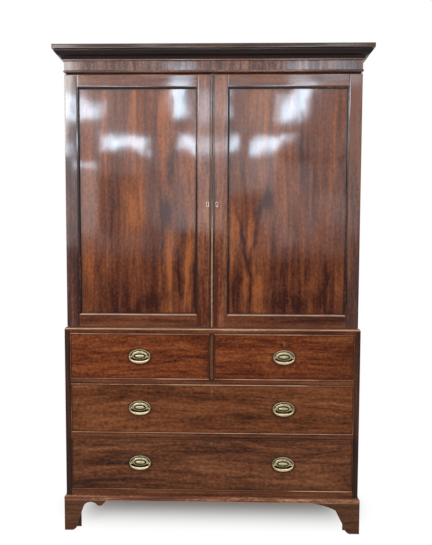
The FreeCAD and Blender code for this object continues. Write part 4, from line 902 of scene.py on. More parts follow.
def make_astragal():
    """A dark wooden slip with a half-round drawn brass roll let into its middle.  Dirt and painted
    shade lie on the slip by the roll, and the roll darkens over its upper part."""
    low, high = span("door_astragal")
    half, thick, roll = (high[0] - low[0]) / 2, 2 * MM, 3 * MM
    place, tall = (0, high[1], low[2]), high[2] - low[2]
    slip = [(-half, 0), (-half, 1.2 * MM), (-half + 1.5 * MM, thick),
            (half - 1.5 * MM, thick), (half, 1.2 * MM), (half, 0)]
    section, edges = eased(slip, 0.3 * MM, 1 * MM)
    slip = run((section, edges * 0), place, Z, X, -Y, tall, (0, 0), GRAIN_Z, 40)
    # Dirt and painted shade on the slip by the roll's foot.
    dirt_and_edge_shade = -0.8 * np.clip(1 - (np.abs(slip[0][:, 0]) - roll) / (4 * MM), 0, 1)
    piece("astragal_slip", [marked(slip, dirt_and_edge_shade)], outer_polish, "door_astragal")
    bead = [(-roll, 1 * MM)] + arc((-roll, 1 * MM), (roll, 1 * MM), 4.2 * MM, 14)
    strip = run((np.array(bead), np.zeros(len(bead))), place, Z, X, -Y, tall, (0, 0), GRAIN_Z, 40)
    # The roll goes darker over its upper part.
    roll_darker_above = -0.8 * np.clip((strip[0][:, 2] - 1.30) / 0.16, 0, 1)
    piece("astragal_roll", [marked(strip, roll_darker_above)], dark_brass, "door_astragal")


# ---- Chest ----
def make_chest_case():
    """The sides' front edges are made dark, most of all low down."""
    for side in ("left", "right"):
        low, high = span("chest_side_" + side)
        shape = board(low, high, GRAIN_Z, 1.2 * MM, (2, 2, 24))
        y, z = shape[0][:, 1:].T
        # The front edge is darkened, more below 0.40 m than above 0.44 m.
        dark = np.interp(z, (0.40, 0.44), (-0.95, -0.75))
        piece("chest_side_board_" + side,
              [marked(shape, np.where(y < low[1] + 2 * MM, dark, shape[3]))],
              case_polish, "chest_side_" + side)


# Bottom and top of each rail in millimetres, and the places of the lock bolts under it
RAILS = ((133, 179, ()), (410.5, 429, (0,)), (644.5, 663, (0,)), (862, 874, (-307, 307)))
BOTTOM_RAIL_THICK = 20 * MM
# How dark the bottom rail's faces are made all over
BOTTOM_RAIL_DARKENING = -0.28
STOPS = ((179, (-486, 486)), (429, (-486, 486)), (663, (-486, -128, 128, 486)))  # floor, places
STOP_SIZE = (40 * MM, 25 * MM, 4.5 * MM)
STOP_BACK = 20 * MM             # from the rails' front
PLUG_PLACE = (25 * MM, 165 * MM)
BOLT_FROM_FRONT = 15.5 * MM
BOLT_TRAVEL = 8 * MM


def make_rails():
    """Rails between the drawers, with a mortise in the underside for each lock's bolt, the
    stops behind them, and the muntin.  An old hole in the bottom rail is plugged."""
    low, high = span("drawer_rails")
    muntin_low, muntin_high = span("centre_muntin")
    bolt_y = low[1] + BOLT_FROM_FRONT
    shapes = []
    for foot, head, bolts in RAILS:
        lowest = foot == RAILS[0][0]
        rear = low[1] + BOTTOM_RAIL_THICK if lowest else muntin_high[1]
        mortises = [(2, 0, (x * MM - BOLT_WIDE / 2, x * MM + BOLT_WIDE / 2),
                     (bolt_y - BOLT_THICK / 2, bolt_y + BOLT_THICK / 2), BOLT_TRAVEL)
                    for x in bolts]
        # The rails' arrises are darkened, as dirt and the painted shade of the gaps by the drawers.
        rail = board((low[0], low[1], foot * MM), (high[0], rear, head * MM), GRAIN_X,
                     wear_and_shading=-0.5, middle=(6, 2, 2), pockets=mortises)
        shapes.append(marked(rail, np.minimum(rail[3], BOTTOM_RAIL_DARKENING if lowest else 0.0)))
    wide, deep, tall = STOP_SIZE
    stop_y = low[1] + STOP_BACK
    for floor, places in STOPS:
        shapes += [board((x * MM - wide / 2, stop_y, floor * MM),
                         (x * MM + wide / 2, stop_y + deep, floor * MM + tall), GRAIN_Y)
                   for x in places]
    piece("rails", shapes, case_polish, "drawer_rails")
    # The muntin is darkened all over, most at its arrises.
    post = board(muntin_low, muntin_high, GRAIN_Z, wear_and_shading=-0.8)
    piece("muntin", [marked(post, post[3] * 0.6 - 0.3)], case_polish, "centre_muntin")
    x, z = PLUG_PLACE
    piece("old_hole_plug", [rod((x, low[1] - 0.3 * MM, z), Y, 3.2 * MM, 6 * MM)], bead_polish,
          "drawer_rails")


BASE_NOSE = 7.5 * MM            # how far the waist and plinth mouldings stand out


def make_base_mouldings():
    """The waist moulding's nose and hollow with the ledge that the cupboard stands in, and the
    plinth's upright fascia under a hollow."""
    low, high = span("waist_moulding")
    nose, tall = BASE_NOSE, high[2] - low[2]
    half = float(high[0]) - nose
    section = [(0, 0), (nose, 0), (nose, 2.5 * MM)]
    section += arc((nose, 2.5 * MM), (0.8 * MM, tall), -1.6 * MM, 7) + [(0, tall)]
    outline, _ = eased(section, 0.5 * MM, 2 * MM)
    # A band on the hollow's upper slope is painted bright, as rubbing and the highlight of light
    # from above, and the wood darkens again towards the top.
    highlight_and_rub = np.interp(outline[:, 1] / MM, (4.0, 5.5, 7.5, 9.5), (0.0, 1.0, 1.0, -0.6))
    shapes = three_sides((outline, highlight_and_rub), half, low[1] + nose, low[2])
    shapes.append(board((-half, low[1] + nose, low[2]), (half, upper_low[1] - 0.5 * MM, high[2]),
                        GRAIN_X, 0.3 * MM))
    piece("waist", shapes, moulding_polish, "waist_moulding")

    low, high = span("plinth_moulding")
    tall = high[2] - low[2]
    section = [(0, 0), (nose, 0), (nose, 13 * MM)]
    section += arc((nose, 13 * MM), (1 * MM, tall), -1.6 * MM, 7) + [(0, tall)]
    outline, worn = eased(section, 0.7 * MM, 3 * MM)
    shapes = three_sides((outline, worn - 0.12), float(high[0]) - nose, low[1] + nose, low[2])
    piece("plinth", shapes, moulding_polish, "plinth_moulding")


# ---- Feet ----
BRACKET = 22 * MM
REAR_BRACKET = 20 * MM
FOOT_ARRIS = 0.9 * MM


def cusped_outline(top):
    """A bracket foot with a cusp, as distances from its corner and heights, in order."""
    top = top / MM
    shape = [(0, 0), (36, 0)] + arc((36, 0), (58, 30), -5, 6)
    shape += arc((58, 30), (83, top - 24), 2, 8) + arc((83, top - 24), (138, top - 16), 12.5, 12)
    shape += arc((138, top - 16), (169, top - 14), -9, 10) + [(182, top), (0, top)]
    return np.array(shape) * MM


def plain_outline(top):
    """A bracket foot with a straight inner edge that sweeps out at its top."""
    top = top / MM
    shape = [(0, 0), (44, 0)] + arc((44, 0), (66, 30), -5, 6) + [(103, top - 30)]
    shape += arc((103, top - 30), (206, top), 5, 10) + [(0, top)]
    return np.array(shape) * MM


def bracket(outline, corner, along, inward, grain):
    """A foot's board: its outline set along a wall from the corner, mitred at the corner, where
    the inner face starts one thickness further on."""
    away, up = outline[:, :1], outline[:, 1:]
    outer = corner + away * along + up * Z
    inner = corner + np.maximum(away, BRACKET) * along + up * Z + BRACKET * inward
    return skin(np.stack([outer, inner]), grain)


def glue_block(corner, to_side, to_back, top):
    """A three-cornered block in the angle of two brackets."""
    size, short = 46 * MM, 4 * MM
    plan = np.array([corner, corner + size * to_side * X, corner + size * to_back * Y])
    return skin(np.stack([plan + short * Z, plan * (1, 1, 0) + top * Z]), GRAIN_Z)


def make_feet():
    """Each front foot is two brackets mitred together.  Each rear one has a side bracket and a
    plain one behind, butted."""
    low, high = span("foot_front_right")
    back = span("back_feet")[1][1]
    top, half = float(high[2]), float(high[0])
    sides = (("left", -1, cusped_outline(top)), ("right", 1, plain_outline(top)))
    for side, sign, outline in sides:
        corner = np.array([sign * half, low[1], 0])
        shapes = [bracket(outline, corner, -sign * X, Y, GRAIN_X),
                  bracket(outline, corner, Y, -sign * X, GRAIN_Y),
                  glue_block(corner + (-sign * BRACKET, BRACKET, 0), -sign, 1, top)]
        piece("front_foot_" + side, shapes, foot_polish, "foot_front_" + side,
              FOOT_ARRIS)
    shapes = []
    rear = np.array([(0, 0), (60 * MM, 0), (150 * MM, top), (0, top)])
    for _, sign, outline in sides:
        corner = np.array([sign * half, back, 0])
        outer = corner - outline[:, :1] * Y + outline[:, 1:] * Z
        shapes.append(skin(np.stack([outer, outer - sign * BRACKET * X]), GRAIN_Y))
        face = corner - sign * (BRACKET + rear[:, :1]) * X + rear[:, 1:] * Z
        shapes.append(skin(np.stack([face, face - REAR_BRACKET * Y]), GRAIN_X))
        shapes.append(glue_block(corner + (-sign * BRACKET, -REAR_BRACKET, 0), -sign, -1, top))
    piece("rear_feet", shapes, foot_polish, "back_feet", FOOT_ARRIS)


# ---- Drawers ----
COCKBEAD = 4 * MM
COCKBEAD_PROUD = 2 * MM
COCKBEAD_DEEP = 8 * MM
LIP_INSET = 0.15 * MM
HANDLE_X = 307 * MM
# The handles' places across, their height, the keyhole and the finish
DRAWERS = {
    "short_left": ([-HANDLE_X], 762.5 * MM, (-HANDLE_X, 825 * MM, DRAWER_KEY), short_polish),
    "short_right": ([HANDLE_X], 762.5 * MM, (HANDLE_X, 825 * MM, DRAWER_KEY), short_polish),
    "long_upper": ([-HANDLE_X, HANDLE_X], 540 * MM, (0.0, 616 * MM, DRAWER_KEY), long_polish),
    "long_lower": ([-HANDLE_X, HANDLE_X], 300 * MM, (0.0, 389 * MM, DRAWER_KEY), low_polish),
}
PLATE_WIDE = 46 * MM
PLATE_TALL = 31 * MM
PLATE_SHADOW = (0.75, 0.34)      # how dark the painted shadow round a plate is, and its reach in half plates
# How far painted shade reaches in from the drawer's right end, and how dark it is there
SHADED_ENDS = {"short_left": (28 * MM, -0.5), "short_right": (230 * MM, -0.42)}
# The lower and upper cockbead: painted highlight and wear all along, and more of it between
# two places; where the value is below 0 it is painted shade
COCKBEAD_HIGHLIGHT_AND_WEAR = {
    "short_left": ((0.15, 0.7, -0.24, 0.0), (0.15, 0.3, -0.35, -0.1)),
    "short_right": ((0.2, 0.6, 0.05, 0.45), (0.15, 0.4, 0.05, 0.4)),
    "long_upper": ((0.4, 0.3, -0.1, 0.5), (0.1, 0.9, -0.20, 0.40)),
    "long_lower": ((0.05, 0.95, 0.34, 0.60), (-0.4, 0.0, 0.0, 0.1)),
}
# How dark each drawer's upright cockbeads are painted, as shade
UPRIGHT_COCKBEAD_SHADE = {"short_left": -0.55, "short_right": -0.55, "long_upper": -0.6,
                "long_lower": -0.85}
STRIP_FADE = 40 * MM


def along_highlight_and_wear(x, everywhere, more, start, end):
    """Painted highlight and wear along a strip: the same everywhere, and more between two
    places, fading at each.
    """
    within = np.minimum(x - start, end - x) / STRIP_FADE
    return everywhere + more * np.clip(0.5 + within, 0, 1)


def make_drawer_front(name, handles, handle_z, key, polish):
    """The board, its rebated edge filled by four mitred half-round cockbeads.  A painted shadow
    lies round each handle's plate, most below it; dirt and painted shade lie along the cockbeads,
    and painted shade at the right end of the short drawers.  The level cockbeads are mostly
    painted bright, as wear and highlights, and the upright ones dark, as shade."""
    node = "drawer_%s_front" % name
    low, high = span(node)
    face, rear = low[1] + COCKBEAD_PROUD, float(high[1])
    field_low = np.array([low[0] + COCKBEAD, face, low[2] + COCKBEAD])
    field_high = np.array([high[0] - COCKBEAD, rear, high[2] - COCKBEAD])
    lip_low = np.array([low[0] + LIP_INSET, face + COCKBEAD_DEEP, low[2] + LIP_INSET])
    lip_high = np.array([high[0] - LIP_INSET, rear, high[2] - LIP_INSET])
    ruled = [(0, x + np.linspace(-60, 60, 21) * MM) for x in handles]
    ruled.append((0, np.linspace(field_low[0] + 12 * MM, field_high[0] - 12 * MM, 30)))
    ruled.append((2, handle_z + np.linspace(-42, 42, 15) * MM))
    # The field's arrises are darkened, as dirt and the painted shade by the cockbeads.
    field = board(field_low, field_high, GRAIN_X, 0.3 * MM, (4, 2, 4), keyhole=key, wear_and_shading=-0.9,
                  extra=ruled)
    points, edge = field[0], field[3]
    # Each plate's painted shadow on the wood, centred 3 mm below the plate.
    most, reach = PLATE_SHADOW
    for x in handles:
        away = np.hypot((points[:, 0] - x) / PLATE_WIDE,
                        (points[:, 2] - handle_z + 3 * MM) / PLATE_TALL)
        edge = np.minimum(edge, -most * np.clip((1 + reach - away) / reach, 0, 1))
    # Painted shade towards the right end of the short drawers.
    reach, shade = SHADED_ENDS.get(name, (1 * MM, 0.0))
    edge = np.minimum(edge, shade * np.clip(1 - (field_high[0] - points[:, 0]) / reach, 0, 1))
    piece("drawer_front_" + name,
          [marked(field, edge), board(lip_low, lip_high, GRAIN_X, 0.5 * MM)],
          polish, node)
    section = [(0, -COCKBEAD_DEEP), (0, 0)] + arc((0, 0), (COCKBEAD, 0), COCKBEAD_PROUD, 10)
    section.append((COCKBEAD, -COCKBEAD_DEEP))
    edges = np.zeros(len(section))
    edges[2:-2] = 1.0
    strips = bead_strips((np.array(section), edges), low[0], high[0], low[2], high[2], face, 40)
    # Level cockbeads get painted highlight and wear, upright ones painted shade.
    wear_and_shading = [along_highlight_and_wear(strip[0][:, 0], *places)
            for strip, places in zip(strips, COCKBEAD_HIGHLIGHT_AND_WEAR[name])] + [UPRIGHT_COCKBEAD_SHADE[name]] * 2
    piece("cockbead_" + name, [marked(strip, strip[3] * share) for strip, share in
                               zip(strips, wear_and_shading)], moulding_polish, node)


# ---- Handles, keyhole linings and locks ----
# A plate's rows in millimetres from the rim inwards: half width, half height, height above
# the drawer and how far the row is raised
PLATE = (
    (45.6, 30.6, 0.0, 0.0), (46.0, 31.0, 0.5, 0.0), (46.0, 31.0, 1.6, 0.0),
    (45.4, 30.4, 2.4, 0.0), (44.0, 29.0, 2.6, 0.0), (42.6, 27.6, 2.1, 0.0),
    (41.6, 26.6, 1.1, 0.0), (40.6, 25.6, 0.5, 0.2), (36.0, 20.0, 0.5, 3.6),
    (34.6, 18.6, 1.4, 4.2), (33.4, 17.6, 2.5, 4.4), (31.2, 15.8, 3.3, 4.2),
    (28.6, 13.6, 3.5, 3.6), (27.0, 12.2, 2.9, 2.9), (25.8, 11.2, 1.7, 2.3),
    (24.8, 10.2, 0.7, 1.9), (21.4, 7.4, 0.6, 1.6), (20.4, 6.5, 1.3, 1.5), (19.2, 5.5, 2.4, 1.4),
    (16.0, 4.5, 3.2, 1.4), (11.0, 3.2, 3.6, 1.4), (4.5, 1.4, 3.7, 1.4), (1.2, 0.5, 3.7, 1.4))
PLATE_AROUND = 72
RING_ROWS = slice(8, 16)        # the raised ring and the moat inside it
# How dark the lower half of the ring is painted, as shade
RING_FOOT_SHADE = 0.5
POST_SPACING = 70 * MM
POST_ROWS = ((2.4, -24), (2.4, -0.5), (4.6, 1.0), (4.8, 1.6), (4.4, 2.2), (2.7, 3.0),
             (2.5, 3.8))        # radius and place on the axis, in millimetres
POST_BALL = (3.9, 7.5)
NUT_ROWS = ((6.0, -24), (6.3, -23.6), (6.3, -20.4), (6.0, -20))
# A lining's section: share of the wall, depth behind the face in millimetres, and edge
LINING = ((0.0, 3.0, -1.0), (0.0, 0.15, -1.0), (0.25, -0.15, 0.0), (0.75, -0.15, 0.0),
          (1.0, 0.15, -0.5), (1.0, 3.0, -1.0))


def handle_plate(x, face_y, z):
    """A stamped oval plate: rim, deep groove, raised ring, moat and a long domed boss.  The
    ring sits a little above the middle.  The lower a row lies, the dirtier it is, and the lower
    half of the ring is painted dark as shade."""
    rows = np.array(PLATE) * MM
    dirt_and_shade = np.clip((1.9 * MM - rows[:, 2]) / (0.9 * MM), 0, 1)
    dirt_and_shade[:3] = 0
    dirt_and_shade = dirt_and_shade[:, None].repeat(PLATE_AROUND, 1)
    foot = np.clip(-np.sin(np.linspace(0, 2 * math.pi, PLATE_AROUND, endpoint=False)), 0, 1)
    dirt_and_shade[RING_ROWS] = np.maximum(dirt_and_shade[RING_ROWS], foot * RING_FOOT_SHADE)
    points, *rest = turned(rows[:, :3], (x, face_y, z), -Y, X, Z, PLATE_AROUND, -dirt_and_shade)
    return (points + np.repeat(rows[:, 3], PLATE_AROUND)[:, None] * Z, *rest)


def handle_post(x, face_y, z):
    """A turned bolt: collar, neck and ball in front, and its shank and nut inside."""
    radius, middle = POST_BALL
    turn = np.linspace(-0.75, 1.35, 9)
    ball = np.stack([radius * np.cos(turn), middle + radius * np.sin(turn)], 1)
    return [turned(np.asarray(rows)[:, [0, 0, 1]] * MM, (x, face_y, z), -Y, X, Z, count)
            for rows, count in ((np.concatenate([POST_ROWS, ball]), 20), (NUT_ROWS, 6))]


def escutcheon(key, face_y):
    """A cast brass lining: the keyhole's outline and the same grown by its wall, joined over
    a softly rounded lip and across the back.  Its inside is painted black, as shade."""
    inner, outer = keyhole_outline(key, 0), keyhole_outline(key, 1)
    rings = np.stack([np.insert(inner + (outer - inner) * share, 1, face_y + deep * MM, 1)
                      for share, deep, _ in LINING])
    edge = np.repeat([row[2] for row in LINING], len(inner))
    faces = grid_faces(len(rings), len(inner), True, True)
    return shell(rings.reshape(-1, 3), faces, GRAIN_Y, edge)


def make_brassware(name, handles, handle_z, key):
    """A drawer's keyhole lining, its lock's case with a channel for the bolt, and its plates
    and posts."""
    low, high = span("drawer_%s_front" % name)
    face, rear = low[1] + COCKBEAD_PROUD, float(high[1])
    node = "drawer_%s_brassware" % name
    lock_low = (key[0] - LOCK_WIDE / 2, rear - LOCK_DEEP, key[1] - LOCK_BELOW)
    lock_high = (key[0] + LOCK_WIDE / 2, rear + PROUD_LEAF, high[2] + 0.1 * MM)
    bolt_y, bolt_foot = rear - LOCK_DEEP / 2, span("lock_bolt_" + name)[0][2] - 0.2 * MM
    channel = (2, -1, (key[0] - BOLT_WIDE / 2, key[0] + BOLT_WIDE / 2),
               (bolt_y - BOLT_THICK / 2, bolt_y + BOLT_THICK / 2), lock_high[2] - bolt_foot)
    case = board(lock_low, lock_high, GRAIN_X, 0.5 * MM, pockets=[channel])
    piece("lock_and_lining_" + name, [escutcheon(key, face), case], lining_brass, node)
    shapes = []
    for x in handles:
        shapes.append(handle_plate(x, face, handle_z))
        for post_x in (x - POST_SPACING / 2, x + POST_SPACING / 2):
            shapes += handle_post(post_x, face, handle_z)
    piece("handle_plates_" + name, shapes, plate_brass, node)


BAILS = {"short_left": (-HANDLE_X, 762.5 * MM), "short_right": (HANDLE_X, 762.5 * MM),
         "upper_left": (-HANDLE_X, 540 * MM), "upper_right": (HANDLE_X, 540 * MM),
         "lower_left": (-HANDLE_X, 300 * MM), "lower_right": (HANDLE_X, 300 * MM)}
BAIL_HALF = 42 * MM             # from the middle to a ball end
BAIL_REACH = 29 * MM            # from the pins down to the bow's lowest edge
BAIL_ALONG, BAIL_AROUND = 41, 16
BALL = 3.2 * MM
PIN = (1.7 * MM, 12 * MM)       # radius and length


def make_bail(name, x, z):
    """A flat swelled bow: its line is half an ellipse, and its oval section grows inwards from
    thin ends to the middle, by powers of the angle's sine.  Ball ends carry the pins that turn
    in the posts."""
    low, high = span("bail_" + name)
    y = (low[1] + high[1]) / 2
    turn = np.linspace(0, math.pi, BAIL_ALONG)
    cos, sin = np.cos(turn), np.clip(np.sin(turn), 0, 1)
    tall, deep = (1.9 + 4.1 * sin ** 1.6) * MM, (1.9 + 2.2 * sin ** 3) * MM
    line = np.stack([x + BAIL_HALF * cos, np.full(BAIL_ALONG, y),
                     z - (BAIL_REACH - tall) * sin], 1)
    line[[0, -1], 2] = z
    tangent = np.gradient(line, axis=0)
    tangent /= np.linalg.norm(tangent, axis=1, keepdims=True)
    side = np.cross(tangent, Y)
    around = np.linspace(0, 2 * math.pi, BAIL_AROUND, endpoint=False)
    rings = (line[:, None] + (tall[:, None] * np.cos(around))[..., None] * side[:, None]
             + (deep[:, None] * np.sin(around))[..., None] * Y)
    shapes = [skin(rings, GRAIN_X)]
    turn = np.linspace(-1.35, 1.35, 11)
    ball = np.stack([np.cos(turn), np.cos(turn), np.sin(turn)], 1) * BALL
    for sign in (-1, 1):
        end = np.array([x + sign * BAIL_HALF, y, z])
        shapes.append(turned(ball, end, sign * X, Y, Z, 18))
        shapes.append(rod(end, -sign * X, *PIN))
    piece("bow_" + name, shapes, bow_brass, "bail_" + name)


def dress_nodes():
    """CAD nodes whose shape is right keep it and get their wood or metal."""
    finishes = {
        pine_case: ["cornice_frame", "upper_top_board", "upper_bottom_board",
                    "chest_top_board", "dustboards"],
        oak_side: ["tray_runners"] + ["drawer_%s_box" % name for name in DRAWERS],
        oak_tray: ["tray_%d" % number for number in (1, 2, 3, 4)],
        dark_brass: ["hinge_leaves_case", "door_lock_bolt", "door_bolt_top",
                     "door_bolt_bottom"] + ["lock_bolt_" + name for name in DRAWERS],
        door_brass: ["door_left_brassware", "door_right_brassware"],
    }
    for material, nodes in finishes.items():
        for node in nodes:
            for mesh_slot in frame["nodes"][node].material_slots:
                mesh_slot.material = material


make_cornice()
make_frieze()
make_upper_case()
make_backs()
make_door("left", -1)
make_door("right", 1)
make_astragal()
make_chest_case()
make_rails()
make_base_mouldings()
make_feet()
for drawer, (handles, handle_z, key, polish) in DRAWERS.items():
    make_drawer_front(drawer, handles, handle_z, key, polish)
    make_brassware(drawer, handles, handle_z, key)
for bail, (bail_x, bail_z) in BAILS.items():
    make_bail(bail, bail_x, bail_z)
dress_nodes()


# ---- Studio ----
WHITE = (1.0, 1.0, 1.0, 1.0)
ROOM_Y = -4.6
ROOM_HALF = 3.2
ROOM_TALL = 4.4
ROOM_LEVELS = (  # height and brightness of the plaster
    (0.0, 0.06), (1.0, 0.10), (1.18, 0.8), (1.35, 1.0), (1.6, 1.9), (2.25, 2.2), (2.38, 1.85),
    (3.2, 2.2), (3.4, 2.0), (3.58, 1.6), (3.66, 0.9), (4.4, 0.9))
FURNISHINGS = (  # left, right, foot, head and brightness of what stands before the plaster
    (-3.20, -1.89, 1.20, 3.16, 2.3), (-3.20, -1.89, 0.0, 1.20, 0.5),
    (-1.84, -1.63, 1.39, 2.21, 3.0), (-1.60, -0.96, 1.39, 2.16, 0.55),
    (-0.93, -0.63, 1.60, 2.25, 1.6), (-0.58, 0.03, 1.44, 2.25, 2.6),
    (-0.58, 0.50, 0.90, 1.40, 0.15), (-1.20, -0.70, 2.66, 3.30, 1.7),
    (-1.80, -1.25, 2.60, 3.20, 2.9), (1.16, 1.70, 1.90, 3.25, 1.4),
    (1.70, 3.20, 1.60, 3.25, 1.7), (0.72, 1.61, 2.27, 2.40, 0.9),
    (0.35, 0.75, 1.93, 2.34, 3.4), (-0.40, 0.07, 2.30, 3.45, 3.0),
    (0.21, 0.56, 2.68, 3.30, 3.0), (0.68, 1.02, 1.25, 2.20, 1.8),
    (0.06, 0.51, 1.10, 1.88, 0.5), (1.60, 3.20, 0.0, 1.30, 0.5))
WINDOWS = (  # left, right, foot, head and share of full daylight, then some panes' slope and lean
    (-2.06, -1.91, 2.86, 3.13, 0.8), (-2.06, -1.91, 2.41, 2.53, 0.6),
    (-1.88, -1.66, 2.84, 3.09, 0.85, -0.04, -0.2), (-1.87, -1.74, 3.05, 3.20, 0.25),
    (-1.67, -1.53, 2.84, 3.02, 0.35), (-1.56, -1.33, 2.44, 2.64, 0.8),
    (-1.31, -0.93, 2.475, 2.645, 1.0, -0.18), (-0.63, -0.42, 2.87, 3.25, 1.0),
    (-0.74, -0.62, 2.93, 3.18, 0.3), (-0.506, -0.374, 2.44, 2.61, 1.0),
    (-0.28, -0.11, 2.74, 3.16, 0.33), (-0.28, -0.11, 2.39, 2.59, 0.5),
    (-0.09, 0.01, 2.40, 2.57, 0.3), (0.06, 0.115, 2.87, 3.20, 1.0),
    (0.08, 0.20, 2.43, 2.61, 0.95), (0.41, 0.76, 2.405, 2.60, 1.0, 0.0, 0.25),
    (0.78, 0.90, 2.51, 2.62, 0.4, 0.0, 0.1), (0.84, 1.09, 2.78, 3.25, 0.85, 0.0, 0.40),
    (0.65, 0.88, 2.81, 3.12, 0.3, 0.0, 0.15), (1.02, 1.16, 2.84, 3.22, 0.4, 0.0, 0.05),
    (-0.63, -0.39, 3.27, 3.44, 0.35), (-0.72, -0.36, 3.42, 3.58, 0.2),
    (-1.04, -0.78, 3.62, 3.84, 0.6), (0.85, 1.08, 3.27, 3.44, 0.25),
    (0.85, 1.18, 3.42, 3.58, 0.2), (1.24, 1.70, 3.26, 3.58, 0.15),
    (1.28, 1.72, 3.62, 3.84, 0.4), (-1.84, -1.63, 2.222, 2.25, 1.0))
FURNISHING_BLUR = 0.05
WINDOW_BLUR = 0.06
WINDOW_LEVEL = 25.0
SIDE_WALL_X = 4.2
SIDE_WALL_GLOW = 0.22
SIDE_WALL_END = 0.8
FLOOR_HALF = 9.0
FOOTPRINT = (0.50, 0.02, 0.0)   # half sizes of the floor's patch that stays in full shadow
SHADOW_REACH = 0.27
NEAR_WHITE = 0.13               # how far the floor is whitened right by the press
FILL_LEVEL = 0.83
KEY_PLACE = (-2.4, -3.8, 3.0)
KEY_AIM = (0.0, 0.0, 1.0)
KEY_SIZE = 1.4
KEY_WATTS = 71.0


def stage_mesh(name, points, faces, material, values=None):
    """A part of the room round the press, with the attributes in values on its points."""
    mesh = bpy.data.meshes.new(name)
    mesh.from_pydata(np.asarray(points, float).tolist(), [], np.asarray(faces).tolist())
    for label, numbers in (values or {}).items():
        mesh.attributes.new(label, "FLOAT", "POINT").data.foreach_set(
            "value", numbers.astype(np.float32))
    mesh.materials.append(material)
    made = bpy.data.objects.new(name, mesh)
    bpy.context.scene.collection.objects.link(made)
    return made


def direct_look(tree):
    """1 for what the camera sees straight, in gloss or through glass, and 0 for soft light."""
    seen = 0.0
    for ray in ("Is Camera Ray", "Is Glossy Ray", "Is Transmission Ray"):
        seen = add(tree, "Math", (seen, add(tree, "LightPath", out=ray)), operation="MAXIMUM")
    return seen


def floor_material():
    """Boards under pale matt paint, rolled on: no gloss and no pattern.  The floor whitens with
    distance from the press's footprint, and keeps the shadow by it."""
    material, tree = new_material("pale_painted_floor")
    away = add(tree, "TexCoord", out="Object")
    away = add(tree, "VectorMath", (away,), operation="ABSOLUTE")
    away = add(tree, "VectorMath", (away, FOOTPRINT), operation="SUBTRACT")
    away = add(tree, "VectorMath", (away, (0.0, 0.0, 0.0)), operation="MAXIMUM")
    away = add(tree, "VectorMath", (away,), 1, operation="LENGTH")
    fade = add(tree, "MapRange", {"Value": away, "From Min": 0.0, "From Max": SHADOW_REACH,
                                  "To Min": NEAR_WHITE, "To Max": 1.0},
               interpolation_type="SMOOTHSTEP")
    share = add(tree, "Math", (fade, direct_look(tree)), operation="MULTIPLY")
    paint = add(tree, "BsdfDiffuse", {"Color": linear("#d0cecb")})
    glow = add(tree, "Emission", {"Color": WHITE, "Strength": 1.0})
    add(tree, "OutputMaterial", (add(tree, "MixShader", (share, paint, glow)),))
    return material


def lit_plaster(name, tint):
    """Trowelled, whitewashed plaster in daylight: as bright as its mesh says, and uneven by
    what hangs on it, some 140 mm wide and 600 mm tall."""
    material, tree = new_material(name)
    glow = add(tree, "Attribute", out="Fac", attribute_name="glow")
    place = add(tree, "TexCoord", out="Object")
    place = add(tree, "Mapping", {"Vector": place, "Scale": (7.0, 1.0, 1.6)})
    clutter = add(tree, "TexNoise", {"Vector": place, "Scale": 1.0, "Detail": 3.0,
                                     "Roughness": NOISE_ROUGHNESS})
    uneven = add(tree, "MapRange", {"Value": clutter, "From Min": 0.3, "From Max": 0.7,
                                    "To Min": 0.65, "To Max": 1.35})
    strength = add(tree, "Math", (glow, uneven), operation="MULTIPLY")
    light = add(tree, "Emission", {"Color": linear(tint), "Strength": strength})
    add(tree, "OutputMaterial", (light,))
    return material


def daylight():
    """Blown glass panes with the sky behind them.  Leaves, 170 mm across, and glazing bars cut
    them, and the polish's upright lines, 24 mm apart, drag their edges, so a pane is bright
    where its depth and two noises add up to enough.  Panes that overlap add their light."""
    material, tree = new_material("daylight_in_windows")
    total = add(tree, "Attribute", out="Fac", attribute_name="depth")
    level = add(tree, "Attribute", out="Fac", attribute_name="level")
    place = add(tree, "TexCoord", out="Object")
    for stretch, detail, share in (((6.0, 1.0, 6.0), 2.0, 1.5), ((42.0, 1.0, 4.0), 3.0, 1.6)):
        near = add(tree, "Mapping", {"Vector": place, "Scale": stretch})
        noise = add(tree, "TexNoise", {"Vector": near, "Scale": 1.0, "Detail": detail,
                                       "Roughness": NOISE_ROUGHNESS})
        total = add(tree, "Math", (noise, share, total), operation="MULTIPLY_ADD")
    share = add(tree, "MapRange", {"Value": total, "From Min": 1.65, "From Max": 2.40},
                interpolation_type="SMOOTHSTEP")
    strength = add(tree, "Math", (share, level), operation="MULTIPLY")
    strength = add(tree, "Math", (strength, WINDOW_LEVEL), operation="MULTIPLY")
    light = add(tree, "Emission", {"Color": linear("#d6ecff"), "Strength": strength})
    light = add(tree, "AddShader", (light, add(tree, "BsdfTransparent")))
    add(tree, "OutputMaterial", (light,))
    return material


def upright_grid(x0, x1, z0, z1, y, columns, rows):
    """A ruled rectangle that faces the press."""
    across, up = np.meshgrid(np.linspace(x0, x1, columns), np.linspace(z0, z1, rows))
    points = np.stack([across, np.full_like(across, y), up], -1).reshape(-1, 3)
    return points, grid_faces(rows, columns)


def within(points, x0, x1, z0, z1, blur):
    """0 to 1 from blur outside a rectangle to blur within it."""
    x, z = points[:, 0], points[:, 2]
    depth = np.minimum(np.minimum(x - x0, x1 - x), np.minimum(z - z0, z1 - z))
    return np.clip(0.5 + depth / (2 * blur), 0, 1)


